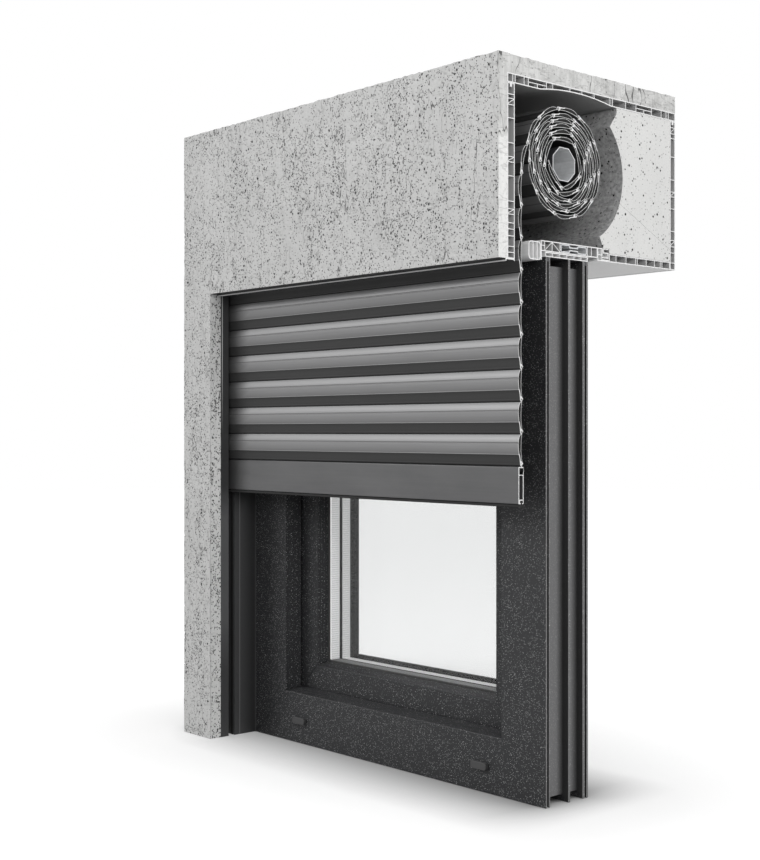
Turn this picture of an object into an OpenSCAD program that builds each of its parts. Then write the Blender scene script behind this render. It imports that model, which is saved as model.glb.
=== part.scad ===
// Exterior roller shutter, cut away at its right end: a shutter box of hollow
// plastic profiles in a plastered lintel, the slat curtain and its roller,
// a guide rail, and the window that they belong to.
// Millimetres, Z up. The origin is at the middle of the base.

/* [Facade] */
// Width of the sample along the facade
sample_w = 640; // [600:1:700]
// Thickness of the render coat on the box
plaster_t = 15; // [12:0.5:20]
// Depth of the plaster reveal beside the opening
reveal_d = 18.5; // [16:0.5:24]
// Width of the plaster beside the opening
jamb_w = 67.5; // [60:0.5:80]
// Thickness of the mortar bed on top of the box
mortar_t = 22.5; // [15:0.5:35]

/* [Box] */
// Depth of the box without the render
box_depth = 316; // [300:1:350]
// Clear height inside the box
box_inner_h = 176.5; // [170:0.5:200]
// Thickness of the front profile
front_wall = 12; // [10:0.5:16]
// Thickness of the top profile
top_wall = 11; // [9.5:0.5:14]
// Thickness of the back profile
back_wall = 10.5; // [8:0.5:14]
// Thickness of the inspection cover under the box
cover_wall = 10; // [8:0.5:12]
// Outer skin of every hollow profile
skin = 1.2; // [0.8:0.1:1.6]
// Inner web of every hollow profile
web = 0.9; // [0.6:0.1:1.4]
// How far the ceiling arches up over the roll
arch_rise = 5.5; // [3:0.5:6.5]
// How far the front profile hangs below the window's top edge
lintel_drop = 7; // [4:0.5:14]
// Width of the slot that the curtain comes out of
mouth_w = 23.7; // [20:0.5:28]
// Radius of the hollow in the insulation
hollow_r = 87.5; // [84:0.5:92]
// Height of the clip rail on the window frame
clip_h = 6.3; // [5:0.1:8]
// Height of the adapter on the clip rail
adapter_h = 12.7; // [11:0.1:16]
// Thickness of the steel stiffener in the adapter
steel_t = 1.2; // [1:0.1:1.6]

/* [Roller] */
// Roller axis behind the inside of the front profile
axis_set = 86; // [82:0.5:92]
// Roller axis below the ceiling
axis_drop = 82.7; // [78:0.1:88]
// Octagonal roller tube across its flats
tube_af = 40; // [38:0.5:44]
// Wall of the roller tube
tube_wall = 0.9; // [0.6:0.1:1.2]
// Radius of the tubular drive
drive_r = 17; // [15:0.5:17.5]
// Length of the tubular drive inside the tube
drive_len = 380; // [300:5:480]
// Radial clearance of what turns on the drive
run_gap = 0.05; // [0.02:0.01:0.1]
// Radius of the outermost layer, at the slats' hooks
roll_r = 65.7; // [64:0.1:67]
// Space that the outermost layer of slats takes on the roll
outer_pitch = 8.2; // [8.1:0.1:9]
// Space that a further layer takes, where the slats' curve suits the roll's
layer_pitch = 5.7; // [5.7:0.1:6.6]

/* [Curtain] */
// Pitch of the slats
slat_pitch = 37.5; // [36.5:0.1:38.5]
// Wall of a slat
slat_wall = 0.6; // [0.5:0.05:1]
// How far a slat bulges to the front of its hooks
slat_bulge = 5.9; // [5.4:0.1:6]
// Radius of the bead along a slat's top edge
bead_r = 1.4; // [1.1:0.05:1.5]
// Clearance between a bead and the eye that holds it
hook_gap = 0.35; // [0.3:0.05:0.45]
// Wall of the eye along a slat's bottom edge
eye_wall = 0.85; // [0.6:0.05:1]
// Hooks of the hanging curtain behind the front profile's inside
curtain_set = 12; // [10.5:0.1:13]
// Where the curtain hangs straight, below the roller axis
straight_drop = 19.3; // [16:0.1:24]
// Height of the bottom bar
bar_h = 46; // [40:0.5:60]
// Height of the rubber seal under the bottom bar
seal_h = 4; // [3:0.5:6]

/* [Guide rail] */
// Width of the guide rail
rail_w = 40; // [36:0.5:48]
// Depth of its slot
slot_d = 26; // [22:0.5:30]
// How far the slats reach into the slot
slat_in = 21; // [15:0.5:21]
// Clearance between the curtain and the slot's sides
slot_gap = 0.8; // [0.6:0.1:1.6]
// Wall of the guide rail
rail_wall = 1.8; // [1.2:0.1:2.4]

/* [Window] */
// Height of the window
window_h = 650; // [620:1:720]
// Window front behind the facade
frame_set = 80; // [77:0.5:90]
// Face width of the window frame
frame_face = 71; // [68:0.5:76]
// Depth of the window frame
frame_depth = 77; // [74:0.5:84]
// Depth of the frame's front lip, in front of the sash
lip_d = 26.3; // [24:0.1:28]
// Face width of the sash that shows inside the frame
sash_face = 33; // [30:0.5:40]
// Thickness of one glass pane
pane_t = 4; // [3:0.5:5]
// Width of the space between two panes
cavity = 16; // [12:0.5:17]
// Thickness of the seals between frame, sash and glass
gasket_t = 3; // [2.5:0.1:4]
// Half the distance between the two drain caps
drain_half = 178.6; // [120:0.2:190]
// Length of the window handle
lever_len = 120; // [100:1:135]
// Radius of the hinge pins
pin_r = 3; // [2.5:0.1:3.5]

/* [Hidden] */
$fn = 32;

// Clearance between pieces that are pushed together
fit = 0.3;
// Slats that hang straight, and slats that are on their way to the roll
hanging = 9;
feeding = 4;

// Heights, from the sill up
z_adapter = window_h + clip_h;
z_floor = z_adapter + adapter_h;
z_ceiling = z_floor + box_inner_h;
z_box = z_ceiling + top_wall;
z_top = z_box + mortar_t;
z_lintel = window_h - lintel_drop;
z_cover = z_floor - 6 - cover_wall;

// Depths, from the facade back
y_front_in = plaster_t + front_wall;
y_back = plaster_t + box_depth;
y_back_in = y_back - back_wall;
y_curtain = y_front_in + curtain_set;
y_axis = y_front_in + axis_set;
y_roll_off = y_front_in + mouth_w;
roll_off_w = 21.5;
y_adapter = y_roll_off + roll_off_w + fit;
y_lock = frame_set + frame_depth + 18;
y_cover = y_lock + 22;
z_axis = z_ceiling - axis_drop;

// Widths, from the left end to the cut
x_rail = jamb_w + 0.5;
frame_x0 = x_rail + 2;
frame_x1 = sample_w;
x_slat = x_rail - slat_in;
cap_t = 4;
cap_rib = 3;
x_inside = cap_t + cap_rib + 2 * fit;

// Slat profile: hooks, and the body between them
eye_r = bead_r + hook_gap;
hook_r = eye_r + eye_wall;
neck_t = 0.6;
body_top = slat_pitch - hook_r - 0.4;
crease = 0.32 * slat_pitch;
fold = 0.66 * slat_pitch;

// Hooks of the chain, in the plane across the roller: y, z
axis_at = [y_axis, z_axis];
hook_0 = [y_curtain, z_axis - straight_drop];
reach_0 = norm(hook_0 - axis_at);
lead = acos((reach_0 * reach_0 + roll_r * roll_r - slat_pitch * slat_pitch)
    / (2 * reach_0 * roll_r));
angle_1 = 180 + atan2(straight_drop, axis_set - curtain_set) - lead;
core_r = tube_af / 2 / cos(22.5) + hook_r + 2.4;
function chord_turn(r1, r2) =
    acos((r1 * r1 + r2 * r2 - slat_pitch * slat_pitch) / (2 * r1 * r2));
// Inside this radius the straight slats fit the roll's curve less and less
even_r = 52;
layer_gain = 0.1;
outer_end = roll_r - outer_pitch + 0.46;
function layer(r) =
    r > outer_end ? outer_pitch : layer_pitch + layer_gain * max(0, even_r - r);
function next_r(k, r) =
    k < feeding - 1 ? r : r - layer(r) * 2 * asin(slat_pitch / 2 / r) / 360;
function wind(k, r, a) = r < core_r ? [] :
    let (rn = next_r(k, r)) concat([[r, a]], wind(k + 1, rn, a - chord_turn(r, rn)));
roll = wind(0, roll_r, angle_1);
function hook(k) = k == 0 ? hook_0 :
    axis_at + roll[k - 1][0] * [cos(roll[k - 1][1]), sin(roll[k - 1][1])];
last_hook = len(roll);
turns = roll[last_hook - 1][1];

// Mouth of the eye: it leaves the neck free from a straight curtain to the tightest turn
neck_half = asin(neck_t / 2 / eye_r);
mouth_low = -91.5 - neck_half;
mouth_high = 2 * asin(slat_pitch / 2 / core_r) - 88.5 + neck_half;
mouth_mid = (mouth_low + mouth_high) / 2;

z_bar = hook_0[1] - hanging * slat_pitch - bar_h;

// Slot of the guide rail
slot_y0 = y_curtain - slat_bulge - slot_gap;
slot_y1 = y_curtain + hook_r + 0.6 + slot_gap;

// Sash, measured from the frame's outer edge and front
rebate_w = frame_face - 21;
sash_out = rebate_w + 7;
sash_lip = rebate_w - 5;
sash_d = lip_d + gasket_t;
sash_edge = frame_face + 4 + sash_face;
bevel_w = 5;
bevel_d = 16;
glass_d = sash_d + bevel_d + gasket_t;
glass_t = 3 * pane_t + 2 * cavity;
glass_edge = sash_edge - 10;
bead_d = glass_d + glass_t + 0.7;
bead_up = 12;
sash_back = bead_d + 13;
lip_gap = 1.2;
sash_wall = 3;
sash_mid = 23;
spindle_r = 5;
spindle_h = 22;

// Hinges and handle
hinge_r = pin_r + 3.6;
hinge_x = frame_x0 + sash_lip - 5;
hinge_y = frame_set + sash_back + 6;
hinge_h = 22;
hinge_gap = 0.3;
leaf_w = 26;
leaf_t = 3;
leaf_over = 12;
handle_w = sash_out + 25;
handle_x = frame_x1 - handle_w;
handle_z = window_h / 2;
rosette_t = 8;
rosette_w = 30;
rosette_h = 68;
lever_neck_r = 6;
lever_r = 9;
lever_t = 12;
lever_out = 24;
y_sash_back = frame_set + sash_back;

plaster_c = [0.80, 0.80, 0.79];
pvc_c = [0.93, 0.93, 0.92];
foam_c = [0.84, 0.85, 0.85];
steel_c = [0.62, 0.63, 0.65];
slat_c = [0.55, 0.56, 0.57];
anthracite_c = [0.22, 0.23, 0.24];
rail_c = [0.16, 0.17, 0.18];
rubber_c = [0.10, 0.10, 0.11];
glass_c = [0.75, 0.85, 0.88, 0.35];

// Puts the working frame, with its corner at the facade's lower left, on the origin
module seat() {
    translate([-sample_w / 2, -y_back / 2, 0]) children();
}

// Runs a section drawn in y and z along the facade
module run(x0, x1) {
    translate([x0, 0, 0]) rotate([90, 0, 90]) linear_extrude(x1 - x0) children();
}

// A rectangle from one corner to the other
module box2(a, b) {
    translate(a) square(b - a);
}

// A rectangle with round corners
module round_box(a, b, r) {
    box2(a + [r, 0], b - [r, 0]);
    box2(a + [0, r], b - [0, r]);
    for (u = [a[0] + r, b[0] - r], v = [a[1] + r, b[1] - r])
        translate([u, v]) circle(r);
}

// A hollow panel along y, with upright webs at these shares of its length
module floor_panel(a, b, webs) {
    difference() {
        box2(a, b);
        difference() {
            box2(a + [skin, skin], b - [skin, skin]);
            for (w = webs)
                translate([a[0] + w * (b[0] - a[0]) - web / 2, a[1]])
                    square([web, b[1] - a[1]]);
            children();
        }
    }
}

// A hollow panel along z, with level webs at these shares of its height
module wall_panel(a, b, webs) {
    difference() {
        box2(a, b);
        difference() {
            box2(a + [skin, skin], b - [skin, skin]);
            for (w = webs)
                translate([a[0], a[1] + w * (b[1] - a[1]) - web / 2])
                    square([b[0] - a[0], web]);
            children();
        }
    }
}

// Slanted webs in narrow cells of a wall, each from its lower to its upper share
module zigzags(a, b, cells) {
    h = b[1] - a[1];
    for (c = cells)
        brace([a[0], a[1] + c[0] * h], [b[0], a[1] + c[1] * h], web);
}

// A slanted web across a cell
module brace(a, b, t) {
    polygon([a, b, b + [0, t], a + [0, t]]);
}

// FACADE

module facade_plaster() {
    color(plaster_c) seat() union() {
        translate([0, 0, z_lintel]) cube([sample_w, plaster_t, z_top - z_lintel]);
        cube([jamb_w, plaster_t, z_lintel + 40]);
        cube([jamb_w, reveal_d, z_lintel - fit]);
    }
}

module top_mortar() {
    color(plaster_c) seat()
        translate([0, plaster_t, z_box]) cube([sample_w, box_depth, mortar_t]);
}

// Angle bead that ends the render along the lintel's lower edge
module edge_bead() {
    leg = 8;
    color(pvc_c) seat() run(x_rail + fit, sample_w) {
        box2([plaster_t - 3, z_lintel - 1.2], [y_front_in, z_lintel]);
        box2([plaster_t - 3, z_lintel - leg * 0.4], [plaster_t - 1.8, z_lintel]);
        box2([y_front_in - 1.2, z_lintel - 2.4], [y_front_in, z_lintel]);
    }
}

// BOX

// Webs of the box's profiles, as shares of their lengths; doubled webs carry the clips
front_webs = [0.035, 0.069, 0.129, 0.168, 0.203, 0.252, 0.282, 0.326, 0.47, 0.549, 0.579,
    0.658, 0.799, 0.875, 0.91, 0.935];
front_zigzags = [[0.252, 0.282], [0.549, 0.579], [0.875, 0.91]];
top_webs = [0.028, 0.041, 0.089, 0.112, 0.212, 0.247, 0.345, 0.415, 0.487, 0.582, 0.598,
    0.68, 0.744, 0.845, 0.908, 0.94, 0.956];
top_splits = [[0.112, 0.212], [0.744, 0.845]];
back_webs = [0.047, 0.115, 0.156, 0.198, 0.26, 0.411, 0.492, 0.525, 0.606, 0.76, 0.884,
    0.916, 0.957];
back_zigzags = [[0.156, 0.198], [0.492, 0.525], [0.916, 0.957]];
cover_webs = [0.11, 0.27, 0.425, 0.455, 0.6, 0.74, 0.835, 0.865];
clip_webs = [for (i = [1:5]) i / 6];
adapter_webs = [0.06, 0.19, 0.327, 0.815, 0.89];

// Front profile: cells between two skins, some with a slanted web
module box_front_profile() {
    a = [plaster_t, z_lintel];
    b = [y_front_in, z_ceiling - fit];
    color(pvc_c) seat() run(0, sample_w) difference() {
        wall_panel(a, b, front_webs) zigzags(a, b, front_zigzags);
        // Mouth for the tongue of the top profile
        box2([a[0] + front_wall / 2 - 2, b[1] - 6], [a[0] + front_wall / 2 + 2, b[1] + 1]);
    }
}

// Top profile: its lower skin arches up over the roll
module box_top_profile() {
    span = 129;
    arch_r = (span * span / 4 + arch_rise * arch_rise) / (2 * arch_rise);
    arch_c = [y_axis + 23, z_ceiling + arch_rise - arch_r];
    mid_z = (z_ceiling + z_box) / 2;
    tongue_y = plaster_t + front_wall / 2;
    back_y = y_back - back_wall / 2;
    color(pvc_c) seat() run(0, sample_w) {
        difference() {
            box2([plaster_t, z_ceiling], [y_back, z_box]);
            translate(arch_c) circle(arch_r, $fn = 180);
            difference() {
                box2([plaster_t + skin, z_ceiling + skin], [y_back - skin, z_box - skin]);
                translate(arch_c) circle(arch_r + skin, $fn = 180);
                for (w = top_webs)
                    translate([plaster_t + w * box_depth - web / 2, z_ceiling])
                        square([web, top_wall]);
                // Cells split by a level web, the lower half once more
                for (c = top_splits) {
                    box2([plaster_t + c[0] * box_depth, mid_z - web / 2],
                        [plaster_t + c[1] * box_depth, mid_z + web / 2]);
                    translate([plaster_t + (c[0] + c[1]) / 2 * box_depth - web / 2, z_ceiling])
                        square([web, mid_z - z_ceiling]);
                }
            }
        }
        for (y = [tongue_y, back_y])
            box2([y - 1.6, z_ceiling - 5], [y + 1.6, z_ceiling + skin / 2]);
    }
}

module box_back_profile() {
    b = [y_back, z_ceiling - fit];
    mid = y_back - back_wall / 2;
    color(pvc_c) seat() run(0, sample_w) difference() {
        wall_panel([y_back_in, z_cover], b, back_webs)
            zigzags([y_back_in, z_cover], b, back_zigzags);
        box2([mid - 2, b[1] - 6], [mid + 2, b[1] + 1]);
        // Groove that the inspection cover hooks into
        box2([y_back_in - 1, z_cover + cover_wall / 2 - 1.5],
            [y_back_in + skin + 1, z_cover + cover_wall / 2 + 1.5]);
    }
}

// Cover that is taken off from below to reach the roller
module inspection_cover() {
    color(pvc_c) seat() run(0, sample_w) {
        floor_panel([y_cover + fit, z_cover], [y_back_in - fit, z_cover + cover_wall], cover_webs);
        box2([y_back_in - fit - skin, z_cover + cover_wall / 2 - 1.1],
            [y_back_in + skin, z_cover + cover_wall / 2 + 1.1]);
    }
}

// The hollow that the roll turns in, set back from the roller's axis
hollow_set = 23.3;
hollow_drop = 3.8;
module hollow() {
    translate([y_axis + hollow_set, z_axis - hollow_drop]) circle(hollow_r, $fn = 96);
}

// Line where the two insulation pieces meet, from the hollow to the back
foam_joint_y = 100;
foam_joint_z = 33;
foam_joint_end = 84;
joint_a = [y_axis + foam_joint_y, z_axis - foam_joint_z];
joint_b = [y_back_in - fit, z_axis - foam_joint_end];

// Upper nose of the insulation, with a step under the ceiling
foam_nose = 85.7;
foam_step = 13;
foam_step_h = 8;
foam_slope_h = 25;
module insulation_main() {
    y0 = y_axis + foam_nose;
    z1 = z_ceiling - fit;
    color(foam_c) seat() run(x_inside, sample_w) difference() {
        polygon([[y0, joint_a[1]], joint_a, joint_b, [joint_b[0], z1], [y0 + foam_step, z1],
            [y0 + foam_step, z1 - foam_step_h], [y0, z1 - foam_slope_h]]);
        hollow();
    }
}

// Wedge that comes out with the cover, with a sloped foot behind the adapter
wedge_nose = 66;
wedge_slope = 7;
wedge_slope_h = 14;
module insulation_wedge() {
    y0 = y_axis + wedge_nose;
    z1 = joint_a[1] - fit;
    z0 = z_floor + fit;
    under = z_cover + cover_wall + fit;
    color(foam_c) seat() run(x_inside, sample_w) difference() {
        polygon([[y0, z1], [joint_a[0], z1], joint_b - [0, fit], [joint_b[0], under],
            [y_cover + 2 * fit, under], [y_cover + 2 * fit, z0],
            [y0 + wedge_slope, z0], [y0, z0 + wedge_slope_h]]);
        hollow();
    }
}

// BOTTOM OF THE BOX

// Hollow nose that the curtain runs over
module roll_off_profile() {
    a = [y_roll_off, z_lintel + 2];
    b = [y_roll_off + roll_off_w, z_floor - 2];
    color(pvc_c) seat() run(0, sample_w) difference() {
        round_box(a, b, 5);
        difference() {
            round_box(a + [skin, skin], b - [skin, skin], 5 - skin);
            for (y = [a[0] + 7.5, a[0] + 14.5])
                box2([y, a[1]], [y + web, b[1]]);
        }
    }
}

// Chambered adapter between the box and the window: slanted webs in front, the steel in
// its widest chamber
module adapter_profile() {
    a = [y_adapter, z_adapter];
    b = [y_lock, z_floor];
    w = b[0] - a[0];
    low = a[1] + skin / 2;
    high = b[1] - skin / 2 - web;
    color(pvc_c) seat() run(0, sample_w) {
        floor_panel(a, b, adapter_webs) {
            box2([a[0], (a[1] + b[1]) / 2], [a[0] + adapter_webs[0] * w, (a[1] + b[1]) / 2 + web]);
            brace([a[0] + adapter_webs[0] * w, low], [a[0] + adapter_webs[1] * w, high], web);
            brace([a[0] + adapter_webs[1] * w, high], [a[0] + adapter_webs[2] * w, low], web);
        }
        // Lip down the front of the window frame
        box2([a[0], window_h - 4], [a[0] + skin, z_adapter + skin]);
    }
}

// Bent steel tube that stiffens the adapter: two lobes and a neck, smaller by s all round
lobe_w = 17;
lobe_r = 2.6;
bone_neck = 4.6;
module bone(s) {
    y0 = y_adapter + adapter_webs[2] * (y_lock - y_adapter) + 1.4;
    y1 = y_adapter + adapter_webs[3] * (y_lock - y_adapter) - 1.4;
    z0 = z_adapter + skin + 0.4;
    z1 = z_floor - skin - 0.4;
    mid = (z0 + z1) / 2;
    round_box([y0 + s, z0 + s], [y0 + lobe_w - s, z1 - s], lobe_r - s);
    round_box([y1 - lobe_w + s, z0 + s], [y1 - s, z1 - s], lobe_r - s);
    box2([y0 + lobe_w / 2, mid - bone_neck / 2 + s], [y1 - lobe_w / 2, mid + bone_neck / 2 - s]);
}

module steel_strip() {
    color(steel_c) seat() run(0, sample_w) difference() {
        bone(0);
        bone(steel_t);
    }
}

// Clip rail: a row of chambers with two feet in the grooves of the frame
module clip_rail() {
    color(pvc_c) seat() run(frame_x0, sample_w) {
        floor_panel([frame_set, window_h], [frame_set + frame_depth, z_adapter - fit], clip_webs);
        for (d = [groove_d, frame_depth - groove_d - groove_w])
            box2([frame_set + d + fit, window_h - 5],
                [frame_set + d + groove_w - fit, window_h + skin / 2]);
    }
}

// Hooked strip that holds the edge of the inspection cover
module lock_profile() {
    a = [y_lock + fit, z_cover];
    b = [y_cover, z_floor];
    mid = a[0] + 9;
    low = a[1] + 2 * skin + 1.6;
    color(pvc_c) seat() run(0, sample_w) {
        difference() {
            box2(a, [mid, b[1]]);
            box2(a + [skin, skin], [mid - skin, a[1] + 7]);
            box2([a[0] + skin, a[1] + 7 + web], [mid - skin, b[1] - skin]);
        }
        // Spring hook, bent to and fro
        hook_a = [mid + 1.4, low];
        hook_b = [b[0] - 1, b[1]];
        waist = (low + b[1]) / 2;
        box2([hook_a[0], hook_b[1] - skin], hook_b);
        box2([hook_a[0], waist], [hook_a[0] + skin, hook_b[1]]);
        box2([hook_a[0], waist], [hook_b[0], waist + skin]);
        box2([hook_b[0] - skin, low], [hook_b[0], waist + skin]);
        box2([mid - skin, low], [hook_b[0], low + skin]);
        box2([mid - skin, a[1]], [b[0] - fit, a[1] + 2 * skin]);
    }
}

// LEFT END AND ROLLER

// End cap: plate, ribs and the boss round the drive's bracket
module end_cap() {
    y1 = y_back_in - fit;
    z0 = z_floor + fit;
    z1 = z_ceiling - fit;
    color(pvc_c) seat() difference() {
        union() {
            translate([fit, y_front_in + fit, z0])
                cube([cap_t, y1 - y_front_in - fit, z1 - z0]);
            translate([fit, y_axis, z_axis]) rotate([0, 90, 0])
                cylinder(r = drive_r + 15, h = cap_t + cap_rib, $fn = 64);
            for (y = [y_axis + 60 : 40 : y1 - 20])
                translate([fit, y, z0]) cube([cap_t + cap_rib, 2, z1 - z0]);
        }
        translate([cap_t, y_axis, z_axis]) rotate([0, 90, 0])
            cylinder(r = drive_r + 12, h = cap_t + cap_rib, $fn = 64);
    }
}

bracket_t = 3;
x_bracket = cap_t;
x_head = x_bracket + bracket_t;
head_len = 24;
x_tube = x_head + head_len + 3;
x_drive_end = x_tube + drive_len;
stub = 12;

// Round plate in the end cap with the square hole for the drive's stub
module drive_bracket() {
    color(steel_c) seat() translate([x_bracket, y_axis, z_axis]) rotate([0, 90, 0])
        difference() {
            cylinder(r = drive_r + 12 - fit, h = bracket_t, $fn = 64);
            translate([-stub / 2, -stub / 2, -1]) cube([stub, stub, bracket_t + 2]);
            for (a = [45:90:315]) rotate(a) translate([drive_r + 6, 0, -1])
                cylinder(r = 2.6, h = bracket_t + 2, $fn = 24);
        }
}

// Tubular drive: head, long body inside the roller tube, bore for the drive wheel
module tubular_drive() {
    s = stub - fit;
    color(rubber_c) seat() translate([0, y_axis, z_axis]) rotate([0, 90, 0])
        difference() {
            union() {
                translate([-s / 2, -s / 2, x_bracket + 0.2]) cube([s, s, bracket_t + 2]);
                translate([0, 0, x_head]) cylinder(r = drive_r + 6, h = head_len, $fn = 48);
                translate([0, 0, x_head]) cylinder(r = drive_r, h = x_drive_end - x_head, $fn = 48);
            }
            translate([0, 0, x_drive_end - 14]) cylinder(r = 5 + run_gap, h = 20);
        }
}

// The octagon of the roller tube, turned so that a flat meets the straps
module octagon(af) {
    rotate(turns + 22.5) circle(r = af / 2 / cos(22.5), $fn = 8);
}

// Crown on the drive's head end and wheel on its far end; both carry the tube
module tube_adapters() {
    inner = tube_af - 2 * tube_wall;
    color([0.25, 0.25, 0.27]) seat() {
        run(x_tube + fit, x_tube + 18) translate(axis_at) difference() {
            octagon(inner);
            circle(drive_r + run_gap, $fn = 48);
        }
        run(x_drive_end + 0.5, x_drive_end + 18) translate(axis_at) octagon(inner);
        run(x_drive_end - 12, x_drive_end + 2) translate(axis_at) circle(5);
    }
}

module roller_tube() {
    color(steel_c) seat() run(x_tube, sample_w) translate(axis_at) difference() {
        octagon(tube_af);
        octagon(tube_af - 2 * tube_wall);
    }
}

// Three spring straps from the tube to the innermost slat
module hanger_straps() {
    end = hook(last_hook);
    before = hook(last_hook - 1);
    back = before - end;
    r = norm(end - axis_at);
    strap_w = 24;
    color(steel_c) seat() for (f = [0.15, 0.5, 0.85])
        run(x_slat + f * (sample_w - x_slat) - strap_w / 2,
            x_slat + f * (sample_w - x_slat) + strap_w / 2) {
            translate(end) rotate(atan2(back[1], back[0]) - mouth_mid) eye();
            translate(axis_at) rotate(turns) {
                box2([tube_af / 2, -6], [tube_af / 2 + 0.8, 6]);
                box2([tube_af / 2, -0.4], [r - eye_r - eye_wall / 2, 0.4]);
            }
        }
}

// CURTAIN

// What is cut out of an eye: its bore, and its mouth towards the slat below
module eye_cut() {
    circle(eye_r);
    polygon(concat([[0, 0]],
        [for (a = [mouth_low, mouth_mid, mouth_high]) 3 * hook_r * [cos(a), sin(a)]]));
}

module eye() {
    difference() {
        circle(hook_r);
        eye_cut();
    }
}

// Bead along a top edge, on its neck
module bead(top, root) {
    translate([0, top]) circle(bead_r);
    box2([-neck_t / 2, root], [neck_t / 2, top]);
}

// Front and back of the slat's hollow body, at a height above its lower hook
crease_u = slat_bulge - 1.2;
swell = 4 * slat_bulge - 2 * (crease_u + hook_r);
slat_foot = 1.3;
back_in = 1;
back_foot = 2.3;
back_head = 1.2;
function front_u(v) = let (t = (v - crease) / (body_top - crease))
    -crease_u + (crease_u - hook_r) * t - swell * t * (1 - t) * (0.6 + 0.8 * t);
function back_u(v) = let (t = (v - slat_foot) / (body_top - slat_foot))
    (t < 0.5 ? back_foot : back_head) * pow(2 * t - 1, 2) - back_in;
function steps(from, to, n) = [for (i = [0:n]) from + (to - from) * i / n];
cuts = 8;

// Ledge over the undercut, and the fold line across the front
ledge = 0.3;
fold_d = 0.25;
fold_w = 0.5;

// Slat between two hooks: the lower one at 0, the upper one one pitch above
module slat_section() {
    inner_foot = hook_r + 1;
    inner_top = body_top - slat_wall;
    difference() {
        union() {
            polygon(concat([[-hook_r + 0.1, 0.6]],
                [for (v = steps(slat_foot, body_top, cuts)) [back_u(v), v]],
                [for (v = steps(body_top, fold + fold_w, cuts / 2)) [front_u(v), v]],
                [[front_u(fold) + fold_d, fold]],
                [for (v = steps(fold - fold_w, crease, cuts / 2)) [front_u(v), v]],
                [[-crease_u - ledge, crease]]));
            circle(hook_r);
            bead(slat_pitch, body_top - 0.3);
        }
        eye_cut();
        polygon(concat([[-hook_r + 0.3, inner_foot]],
            [for (v = steps(inner_foot, inner_top, cuts)) [back_u(v) - slat_wall, v]],
            [for (v = steps(inner_top, crease, cuts)) [front_u(v) + slat_wall, v]]));
    }
}

// A slat laid between two hooks
module slat_at(a, b) {
    run(x_slat, sample_w) translate(a)
        rotate(atan2(b[1] - a[1], b[0] - a[0]) - 90) slat_section();
}

// Hanging slats, counted down from the box
module slat(k) {
    a = hook_0 - [0, k * slat_pitch];
    color(slat_c) seat() slat_at(a, a + [0, slat_pitch]);
}

// Slats that are coming off the roll
module feed_slat(k) {
    color(slat_c) seat() slat_at(hook(k - 1), hook(k));
}

// All slats that stay on the roller
module wound_slats() {
    color(slat_c) seat() for (k = [feeding : last_hook - 1]) slat_at(hook(k), hook(k + 1));
}

// Bottom bar: hollow, with a bead that hangs in the lowest slat
module bottom_bar() {
    top = z_bar + bar_h;
    roof = top - hook_r - 0.4;
    f = y_curtain - slat_bulge + 0.5;
    b = y_curtain + hook_r + 0.6;
    w = 1.2;
    color(slat_c) seat() run(x_slat, sample_w) difference() {
        union() {
            round_box([f, z_bar], [b, roof], 1);
            translate([y_curtain, 0]) bead(top, roof - 0.5);
        }
        box2([f + w, z_bar + w + 4], [b - w, roof - 10]);
        box2([f + w, roof - 10 + w], [b - w, roof - w]);
        // Groove for the seal
        box2([y_curtain - 3, z_bar + w], [y_curtain + 2.2, z_bar + 4]);
        box2([y_curtain - 1.5, z_bar - 1], [y_curtain + 0.7, z_bar + 2]);
    }
}

module bottom_seal() {
    color(rubber_c) seat() run(x_slat + 1, sample_w) {
        round_box([y_curtain - 3.6, z_bar - seal_h], [y_curtain + 2.8, z_bar - 0.1], 1.4);
        box2([y_curtain - 1.3, z_bar - 1], [y_curtain + 0.5, z_bar + 2]);
        box2([y_curtain - 2.7, z_bar + 1.4], [y_curtain + 1.9, z_bar + 3.7]);
    }
}

// GUIDE RAIL

rail_y1 = frame_set - 0.1;
z_rail = z_lintel - fit;

module guide_rail() {
    x0 = x_rail - rail_w;
    w = rail_wall;
    color(rail_c) seat() difference() {
        linear_extrude(z_rail) difference() {
            box2([x0, reveal_d + 0.1], [x_rail, rail_y1]);
            // Slot for the curtain, with grooves for the brushes
            box2([x_rail - slot_d, slot_y0], [x_rail + 1, slot_y1]);
            for (y = [slot_y0 - 1.2, slot_y1 - 1])
                box2([x_rail - 9, y], [x_rail - 4, y + 2.2]);
            // Chambers in front of the slot, behind it and at its end
            box2([x0 + w, reveal_d + 0.1 + w], [x_rail - w, slot_y0 - w - 1.2]);
            box2([x0 + w, slot_y0], [x_rail - slot_d - w, slot_y1]);
            box2([x0 + w, slot_y1 + w + 1.2], [x_rail - w, slot_y1 + 14]);
            box2([x0 + w, slot_y1 + 14 + w], [x_rail - w, rail_y1 - w]);
        }
        rail_holes() cylinder(r = screw_r + 0.3, h = 6, center = true, $fn = 24);
    }
}

// Pile strips on both sides of the slot
module rail_brushes() {
    color(rubber_c) seat() {
        translate([x_rail - 8.8, slot_y0 - 1.1, 0]) cube([4.6, 1.1 + slot_gap - fit, z_rail]);
        translate([x_rail - 8.8, slot_y1 - slot_gap + fit, 0])
            cube([4.6, 1.1 + slot_gap - fit, z_rail]);
    }
}

screw_r = 2;
// Places on the rail's back wall where it is screwed to the frame extension
module rail_holes() {
    for (f = [0.12, 0.5, 0.88])
        translate([x_rail - rail_w / 2, rail_y1, f * z_rail]) rotate([90, 0, 0]) children();
}

module rail_screws() {
    color(steel_c) seat() rail_holes() {
        translate([0, 0, rail_wall]) cylinder(r = 2 * screw_r, h = 2.4, $fn = 24);
        translate([0, 0, -14]) cylinder(r = screw_r, h = 14.5 + rail_wall, $fn = 24);
    }
}

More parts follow.
